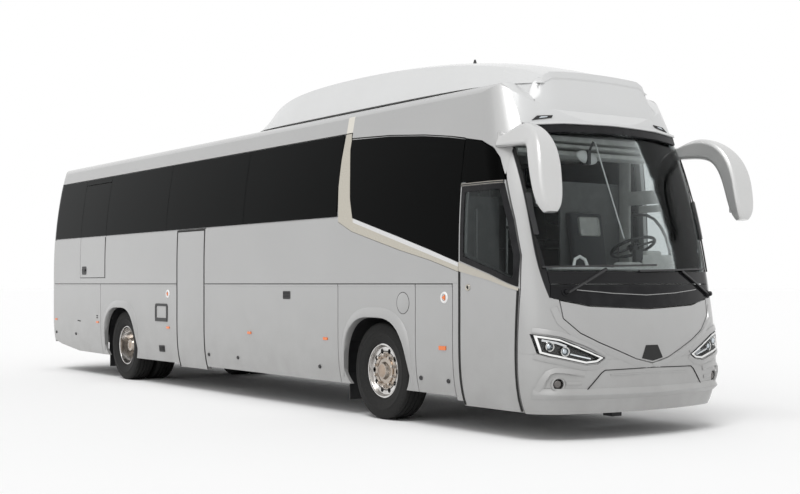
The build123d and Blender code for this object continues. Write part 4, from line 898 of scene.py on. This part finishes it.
def upperLine(points):  # the lowest line that is nowhere hollow and lies over all points
    line = []
    for point in points:
        while len(line) > 1 and ((line[-1][0] - line[-2][0]) * (point[1] - line[-2][1])
                                 - (line[-1][1] - line[-2][1]) * (point[0] - line[-2][0])) >= 0:
            line.pop()
        line.append(point)
    return line


topSkin = skinOf("roof roof_cap roof_pod front_mask")
bm = bmesh.new()
bmesh.ops.create_grid(bm, x_segments=fairing["cells"][0], y_segments=fairing["cells"][1], size=0.5)
rows = {}
for v in bm.verts:
    v.co.x = fairing["x"][0] + (v.co.x + 0.5) * (fairing["x"][1] - fairing["x"][0])
    v.co.y = fairing["y"][0] + (v.co.y + 0.5) * (fairing["y"][1] - fairing["y"][0])
    rows.setdefault(round(v.co.y, 4), []).append(v)
for row in rows.values():
    row.sort(key=lambda v: v.co.x)
    starts = [Vector((v.co.x, v.co.y, rays["top"])) for v in row]
    heights = [(start.x, topSkin.ray_cast(start, Vector((0, 0, -1)))[0]) for start in starts]
    line = upperLine([(x, place.z) for x, place in heights if place])  # a ray through a seam meets nothing
    for v in row:
        for (x0, z0), (x1, z1) in zip(line[:-1], line[1:]):
            if x0 - fairing["reach"] <= v.co.x <= x1 + fairing["reach"]:
                v.co.z = z0 + (z1 - z0) * (v.co.x - x0) / (x1 - x0) + fairing["proud"]
for v in bm.verts:
    if v.is_boundary:
        v.co.z -= fairing["rimDown"]
piece("browFairing", bm, "roofPaint")
print("roof fittings done")

tyres = dict(
    steps=90,  # cells round the tread
    half=[(0.290, 0.112), (0.297, 0.124), (0.305, 0.122), (0.318, 0.130), (0.350, 0.141), (0.400, 0.148),
          (0.404, 0.1505), (0.412, 0.1505), (0.416, 0.148), (0.440, 0.147), (0.468, 0.143), (0.490, 0.136),
          (0.503, 0.127), (0.511, 0.116)],
    tread=[(0.512, 0.098), (0.512, 0.090), (0.500, 0.087), (0.500, 0.078), (0.512, 0.075), (0.512, 0.032),
           (0.500, 0.029), (0.500, 0.020), (0.512, 0.017)],
    lugs=dict(over=0.505, beyond=0.095, every=3, share=0.984),
    cuts=dict(over=0.511, every=2, share=0.996),
)


def tyreShape():
    half = tyres["half"] + tyres["tread"]
    profile = half + [(radius, -y) for radius, y in reversed(half)]
    profile.append(profile[0])
    bm = spun(profile, tyres["steps"])
    lugs, cuts = tyres["lugs"], tyres["cuts"]
    for v in bm.verts:  # shoulder lugs and fine cuts across the ribs
        radius = math.hypot(v.co.x, v.co.y)
        turn = round(math.atan2(v.co.y, v.co.x) / (2 * math.pi) * tyres["steps"])
        if radius > lugs["over"] and abs(v.co.z) > lugs["beyond"] and turn % lugs["every"] == 0:
            bmesh.ops.scale(bm, verts=[v], vec=(lugs["share"], lugs["share"], 1.0))
        elif radius > cuts["over"] and turn % cuts["every"] == 0:
            bmesh.ops.scale(bm, verts=[v], vec=(cuts["share"], cuts["share"], 1.0))
    return bm


# nuts stand on the disc, dished inwards at the rear; frontY and rearY are from the coach's middle plane
wheelNuts = dict(count=10, circle=0.1675, frontY=1.128, rearY=0.900, washer=(0.023, 0.021, 0.010),
                 nut=(0.0185, 0.0165, 0.030), nutLift=0.022, dome=0.011, domeLift=0.036)
# hub caps and rim lip as (radius, distance out of the tyre's middle)
hubCaps = dict(
    front=([(0.140, 0.076), (0.146, 0.079), (0.146, 0.088), (0.136, 0.090)],
           [(0.0, 0.137), (0.050, 0.136), (0.060, 0.130), (0.066, 0.130), (0.075, 0.126)]),
    rear=([(0.0, 0.072), (0.040, 0.070), (0.052, 0.062), (0.060, 0.062), (0.072, 0.062)],
          [(0.104, 0.012), (0.112, 0.014), (0.112, -0.004), (0.104, -0.006)]),
    rimLip=[(0.270, 0.107), (0.272, 0.113), (0.280, 0.116), (0.288, 0.113), (0.291, 0.108), (0.291, 0.104)],
)
valve = dict(radius=0.005, x=(0.236, 0.232), y=1.14, z=0.54, stand=dict(front=0.060, rear=0.02))


def nutShape():  # a washer, its hexagon nut and the rounded stud end
    bm = bmesh.new()
    for segments, (low, high, depth), lift in ((20, wheelNuts["washer"], wheelNuts["washer"][2] / 2),
                                               (6, wheelNuts["nut"], wheelNuts["nutLift"])):
        fresh = bmesh.ops.create_cone(bm, cap_ends=True, segments=segments, radius1=low, radius2=high,
                                      depth=depth)["verts"]
        bmesh.ops.translate(bm, verts=fresh, vec=(0, 0, lift))
    fresh = bmesh.ops.create_uvsphere(bm, u_segments=10, v_segments=6, radius=wheelNuts["dome"])["verts"]
    bmesh.ops.translate(bm, verts=fresh, vec=(0, 0, wheelNuts["domeLift"]))
    return bm


for end, side, body in (("front", -1, "wheel_front_right"), ("front", 1, "wheel_front_left"),
                        ("rear", -1, "wheels_rear_right"), ("rear", 1, "wheels_rear_left")):
    key = end + ("_right" if side < 0 else "_left")
    outward = (0, side, 0)
    middles = (axle["face"],) if end == "front" else (axle["face"], axle["innerFace"])
    treads = [stand(tyreShape(), (axle[end], side * y, axle["height"]), (0, 1, 0)) for y in middles]
    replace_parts(piece("tread_" + key, gather(treads), "tyreRubber", body), "tyre_" + key)
    nuts = []
    for k in range(wheelNuts["count"]):
        angle = 2 * math.pi * (k + 0.5) / wheelNuts["count"]
        spot = Vector((axle[end] + wheelNuts["circle"] * math.cos(angle), side * wheelNuts[end + "Y"],
                       axle["height"] + wheelNuts["circle"] * math.sin(angle)))
        nuts.append(stand(nutShape(), spot, outward))
    piece("nuts_" + key, gather(nuts), "nutMetal", body)
    centre = Vector((axle[end], side * axle["face"], axle["height"]))
    rings = [stand(spun(profile, 56), centre, outward) for profile in hubCaps[end]]
    piece("hubCap_" + key, gather(rings), "hubMetal", body)
    spunPiece("rimLip_" + key, hubCaps["rimLip"], centre, outward, "wheelMetal", body, steps=72)
    stem = [(axle[end] + valve["x"][0], side * (axle["face"] + valve["stand"][end]), valve["z"]),
            (axle[end] + valve["x"][1], side * valve["y"], valve["z"])]
    piece("valve_" + key, tube(stem, valve["radius"]), "steelMetal", body, "rim")
print("wheels done")

# padded seats; a row is missing on the right, at the middle door
seats = dict(pitch=0.79, firstX=3.75, rows=12, inner=0.225, spacing=0.452, width=0.446, gapX=(-1.715, -0.095),
             floorZ=1.44, driver=(5.10, 0.32, 0.78, 1.05), foot=0.38, backHeight=0.742, lean=0.125,
             corner=0.030, inset=0.004, cushion=(0.442, 0.106), backThick=0.090, backBehind=0.096,
             cover=dict(narrower=0.09, high=0.20, thick=0.014, up=0.50, behind=0.005))


def cushionShape(x, y0, y1, z0, z1, depth):
    return blocks(((x, y0, z0), (x + depth, y1, z1), seats["corner"], 3))


def leanedShape(bm, x, foot, height):  # an upright cushion leaned back with the seat's back
    for v in bm.verts:
        v.co.x = x + v.co.x - seats["lean"] * (height + v.co.z) / seats["backHeight"]
        v.co.z += foot
    return bm


places = []
for row in range(seats["rows"]):
    x = seats["firstX"] - row * seats["pitch"]
    for side in (-1, 1):
        if side < 0 and seats["gapX"][0] < x < seats["gapX"][1]:
            continue
        for low in (seats["inner"], seats["inner"] + seats["spacing"]):
            places.append((x, *sorted((side * low, side * (low + seats["width"]))), seats["floorZ"]))
places.append(seats["driver"])
cushions, backs, headCovers = [], [], []
inset, cover = seats["inset"], seats["cover"]
for x, y0, y1, floorZ in places:
    foot = floorZ + seats["foot"]
    depth, high = seats["cushion"]
    cushions.append(cushionShape(x + inset, y0 + inset, y1 - inset, foot + inset, foot + high, depth))
    back = cushionShape(0.0, y0 + inset, y1 - inset, 0.0, seats["backHeight"], seats["backThick"])
    backs.append(leanedShape(back, x - seats["backBehind"], foot + 0.006, 0.0))
    side0, side1 = y0 + cover["narrower"], y1 - cover["narrower"]
    cloth = cushionShape(0.0, side0, side1, 0.0, cover["high"], cover["thick"])
    headCovers.append(leanedShape(cloth, x - cover["behind"], foot + cover["up"], cover["up"]))
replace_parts(piece("seatCushions", gather(cushions), "seatCloth"), "seat_cushions")
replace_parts(piece("seatBacks", gather(backs), "seatCloth"), "seat_backs")
piece("headrestCovers", gather(headCovers), "headCloth")

steering = dict(
    centre=(5.65, 0.55, 1.80), lean=25,
    grip=[(0.209, 0.0), (0.2145, -0.012), (0.2255, -0.016), (0.237, -0.011), (0.2415, 0.0), (0.237, 0.011),
          (0.2255, 0.016), (0.2145, 0.012), (0.209, 0.0)],
    pad=[(0.0, 0.030), (0.040, 0.028), (0.062, 0.018), (0.066, 0.004)],
)
lean = math.radians(steering["lean"])
steerAxis = Vector((-math.sin(lean), 0, math.cos(lean)))
for name, profile, steps in (("steeringGrip", "grip", 64), ("steeringPad", "pad", 40)):
    spunPiece(name, steering[profile], steering["centre"], steerAxis, "blackPlastic", "steering_wheel",
              steps=steps)

insideMirror = dict(centre=(5.78, -0.20, 2.65), radius=0.12, shape=(0.30, 1.15, 0.52), tilt=-12)
bm = bmesh.new()
bmesh.ops.create_uvsphere(bm, u_segments=32, v_segments=16, radius=insideMirror["radius"])
bmesh.ops.scale(bm, verts=bm.verts, vec=insideMirror["shape"])
bmesh.ops.rotate(bm, verts=bm.verts, cent=(0, 0, 0),
                 matrix=Matrix.Rotation(math.radians(insideMirror["tilt"]), 3, "X"))
bmesh.ops.translate(bm, verts=bm.verts, vec=insideMirror["centre"])
piece("insideMirror", bm, "rimWhite", slot="inner_trim")

paneArc = ((5.04, 1.77), (5.04, 2.175), (5.27, 2.155), (5.376, 2.109), (5.47, 2.021), (5.543, 1.912),
           (5.594, 1.773), (5.61, 1.60))
handRails = (([(5.20, -1.10, 1.35), (5.20, -1.10, 2.15)], 0.015),
             ([(4.93, -0.50, 1.10), (4.93, -0.50, 2.1)], 0.016),
             ([(5.22, -0.50, 1.12), (5.22, -0.50, 1.95), (4.93, -0.50, 2.0)], 0.015))
headerSteps = ((5.56, 2.835, 0.055), (5.60, 2.765, 0.030), (5.54, 2.700, 0.045))  # x, z and height
readingLamps = dict(count=11, firstX=4.0, pitch=0.9, y=0.80, length=0.05, halfWidth=0.02, z=(2.782, 2.789))


def readingLampRows():  # two lamps over each seat pair
    for k in range(readingLamps["count"]):
        for y in (-readingLamps["y"], readingLamps["y"]):
            for offset in (0.0, 0.12):
                x, (low, high) = readingLamps["firstX"] + offset - k * readingLamps["pitch"], readingLamps["z"]
                yield ((x, y - readingLamps["halfWidth"], low),
                       (x + readingLamps["length"], y + readingLamps["halfWidth"], high), 0.003, 1)


# shape, look and perhaps slot; a block's row is low corner, high corner, bevel and segments
insidePieces = dict(
    mirrorStem=(tube([insideMirror["centre"], (5.84, -0.17, 2.80)], 0.012), "blackPlastic"),
    mirrorClamp=(blocks(((5.735, -0.225, 2.58), (5.830, -0.185, 2.72), 0.008, 2)), "blackPlastic"),
    paneFrame=(tube([(x, 1.135, z) for x, z in paneArc], 0.016), "blackPlastic"),
    blindRod=(tube([(5.86, -0.165, 2.79), (6.12, -0.035, 1.86)], 0.007), "whitePlastic", "trim"),
    dashHood=(blocks(((5.90, 0.24, 1.46), (6.02, 0.92, 1.715), 0.05, 4),
                     ((5.88, 0.40, 1.60), (5.99, 0.62, 1.755), 0.03, 3),
                     ((5.88, 0.04, 1.46), (6.06, 0.30, 1.640), 0.035, 3),
                     ((5.56, -0.44, 1.06), (5.86, -0.20, 1.52), 0.04, 3)), "innerPlastic"),
    dashShelf=(blocks(((5.84, -0.90, 1.560), (6.08, 0.90, 1.588), 0.012, 2),
                      ((5.70, -0.96, 1.500), (5.90, 0.96, 1.560), 0.012, 2)), "whitePlastic", "inner_trim"),
    dashGrip=(tube([(5.92, -0.50, 1.58), (5.90, -0.46, 1.665), (5.90, -0.40, 1.69), (5.92, -0.35, 1.66),
                    (5.94, -0.33, 1.58)], 0.016), "rimWhite", "inner_trim"),
    dashRadio=(blocks(((5.955, 0.225, 1.55), (6.02, 0.33, 1.765), 0.02, 3)), "blackPlastic"),
    screenHeader=(blocks(*[((x - 0.20, -0.93, z - high / 2), (x + 0.08, 0.93, z + high / 2), 0.012, 2)
                           for x, z, high in headerSteps]), "innerPlastic"),
    sideBlind=(blocks(((5.11, 1.02, 2.262), (5.80, 1.06, 2.405), 0.012, 2),
                      ((5.24, 1.04, 2.176), (5.76, 1.06, 2.250), 0.008, 2),
                      ((4.90, 1.08, 1.10), (5.06, 1.12, 2.78), 0.02, 2)), "innerPlastic"),
    handRails=(gather([tube(points, radius) for points, radius in handRails]), "steelMetal", "trim"),
    readingLamps=(blocks(*readingLampRows()), "whiteLens"),
)
for name, (shape, look, *slot) in insidePieces.items():
    piece(name, shape, look, "root", *slot)
print("inside done")

# glass on the back of each outer mirror's head
mirrorGlass = dict(centre=(6.33, 1.255, 2.3), x=(6.325, 6.340), halfWidth=0.082, z=(2.13, 2.50), lean=-10)
for side, tag in ((-1, "right"), (1, "left")):
    x, y, z = mirrorGlass["centre"]
    low = (mirrorGlass["x"][0], side * y - mirrorGlass["halfWidth"], mirrorGlass["z"][0])
    high = (mirrorGlass["x"][1], side * y + mirrorGlass["halfWidth"], mirrorGlass["z"][1])
    bm = blocks((low, high, 0.006, 2))
    bmesh.ops.rotate(bm, verts=bm.verts, cent=(x, side * y, z),
                     matrix=Matrix.Rotation(math.radians(mirrorGlass["lean"]), 3, "Y"))
    piece("mirrorGlass_" + tag, bm, "mirrorFace")
print("mirrors done")

# the tail, with outlines as (y, z)
tailEyes = dict(
    y=1.075, rows=((1.06, "whiteLens"), (1.19, "amberLens"), (1.33, "tailLens"), (1.47, "tailLens"),
                   (1.61, "tailLens")),
    profile=[(0.0, 0.014), (0.03, 0.012), (0.048, 0.004), (0.052, -0.004)],
)
tailSheets = dict(
    # the dark sheet behind the grille's slats is painted shade
    grilleBack=([oblong(-0.85, 0.85, 0.85, 1.22, 0.03, 3)], 0.003, "darkHole", "engine_lid"),
    grilleSlats=([oblong(-0.83, 0.83, 0.872 + 0.042 * k, 0.890 + 0.042 * k) for k in range(8)], 0.014,
                 "silverPaint", "engine_lid", dict(cell=0.15)),
    plate=([oblong(-0.26, 0.26, 1.36, 1.47, 0.01, 2)], 0.006, "whitePlastic", "engine_lid",
           dict(slot="trim")),
    plateLamp=([oblong(-0.20, 0.20, 1.49, 1.52)], 0.03, "blackPlastic", "engine_lid"),
    rearWiperLine=([band(arched([(0.0, 1.878), (0.86, 1.875)]), 0.01)], 0.003, "flapRubber", "engine_lid"),
)
for side in (-1, 1):
    for n, (z, look) in enumerate(tailEyes["rows"]):
        place, normal = tail(side * tailEyes["y"], z)
        spunPiece("tailEye_%d_%d" % (n, side), tailEyes["profile"], place, normal, look, steps=32)
    # the rear reflectors take the tail lamps' glass, so they glow a little though they are no lamps: painted
    # light
    reflector = oblong(side * 0.95 - 0.06, side * 0.95 + 0.06, 0.60, 0.65, 0.01, 2)
    sheetPiece("tailReflector_%d" % side, tail, [reflector], 0.006, "tailLens")
sheetPieces(tail, tailSheets)
print("tail done")

view = dict(place=(14.956, -8.717, 1.431), turn=55.41, lens=57.74, sensor=36.0, shift=0.046, sight=500.0)
camera = bpy.data.objects.new("camera", bpy.data.cameras.new("camera"))
camera.data.lens = view["lens"]
camera.data.sensor_width = view["sensor"]
camera.data.shift_y = view["shift"]
camera.data.clip_end = view["sight"]
camera.location = view["place"]
camera.rotation_euler = (math.radians(90), 0, math.radians(view["turn"]))
bpy.context.scene.collection.objects.link(camera)
bpy.context.scene.camera = camera

stage = dict(floor=400.0, floorShades=((0.92, 0.92, 0.92), (0.86, 0.86, 0.86)), world=0.60,
             white=(1.0, 1.0, 1.0, 1.0),
             suns=dict(key=(1.45, (30, 5, 30), 30), fill=(0.35, (55, 0, 20), 60)))  # strength, turn and angle
bm = bmesh.new()
bmesh.ops.create_circle(bm, cap_ends=True, segments=64, radius=stage["floor"])
floor = bpy.data.objects.new("floor", bpy.data.meshes.new("floor"))
bm.to_mesh(floor.data)
bm.free()
bpy.context.scene.collection.objects.link(floor)
ground = Finish("paleFloor", Roughness=0.95)
ground.set("Base Color", ground.blend(ground.noise(0.4, 2.0) * 0.05, *stage["floorShades"]))
floor.data.materials.append(ground.material)

for name, (strength, turn, angle) in stage["suns"].items():
    lamp = bpy.data.objects.new(name, bpy.data.lights.new(name, "SUN"))
    lamp.data.energy = strength
    lamp.data.angle = math.radians(angle)
    lamp.rotation_euler = [math.radians(a) for a in turn]
    bpy.context.scene.collection.objects.link(lamp)

# the world lights softly, and is plain white where it is seen, mirrored or seen through glass
world = bpy.data.worlds.new("world")
bpy.context.scene.world = world
world.use_nodes = True
sky = Nodes(world.node_tree)
seen, mirrored, through = [sky.node("ShaderNodeLightPath", {}, out=ray)
                           for ray in ("Is Camera Ray", "Is Glossy Ray", "Is Transmission Ray")]
white = sky.node("ShaderNodeMath", {"operation": "ADD", "use_clamp": True}, seen, mirrored + through)
soft = sky.node("ShaderNodeBackground", {}, stage["white"], stage["world"])
bright = sky.node("ShaderNodeBackground", {}, stage["white"], 1.0)
sky.finishAt("World Output", sky.node("ShaderNodeMixShader", {}, white, soft, bright))
bpy.context.scene.view_settings.view_transform = "Standard"
print("stage done")
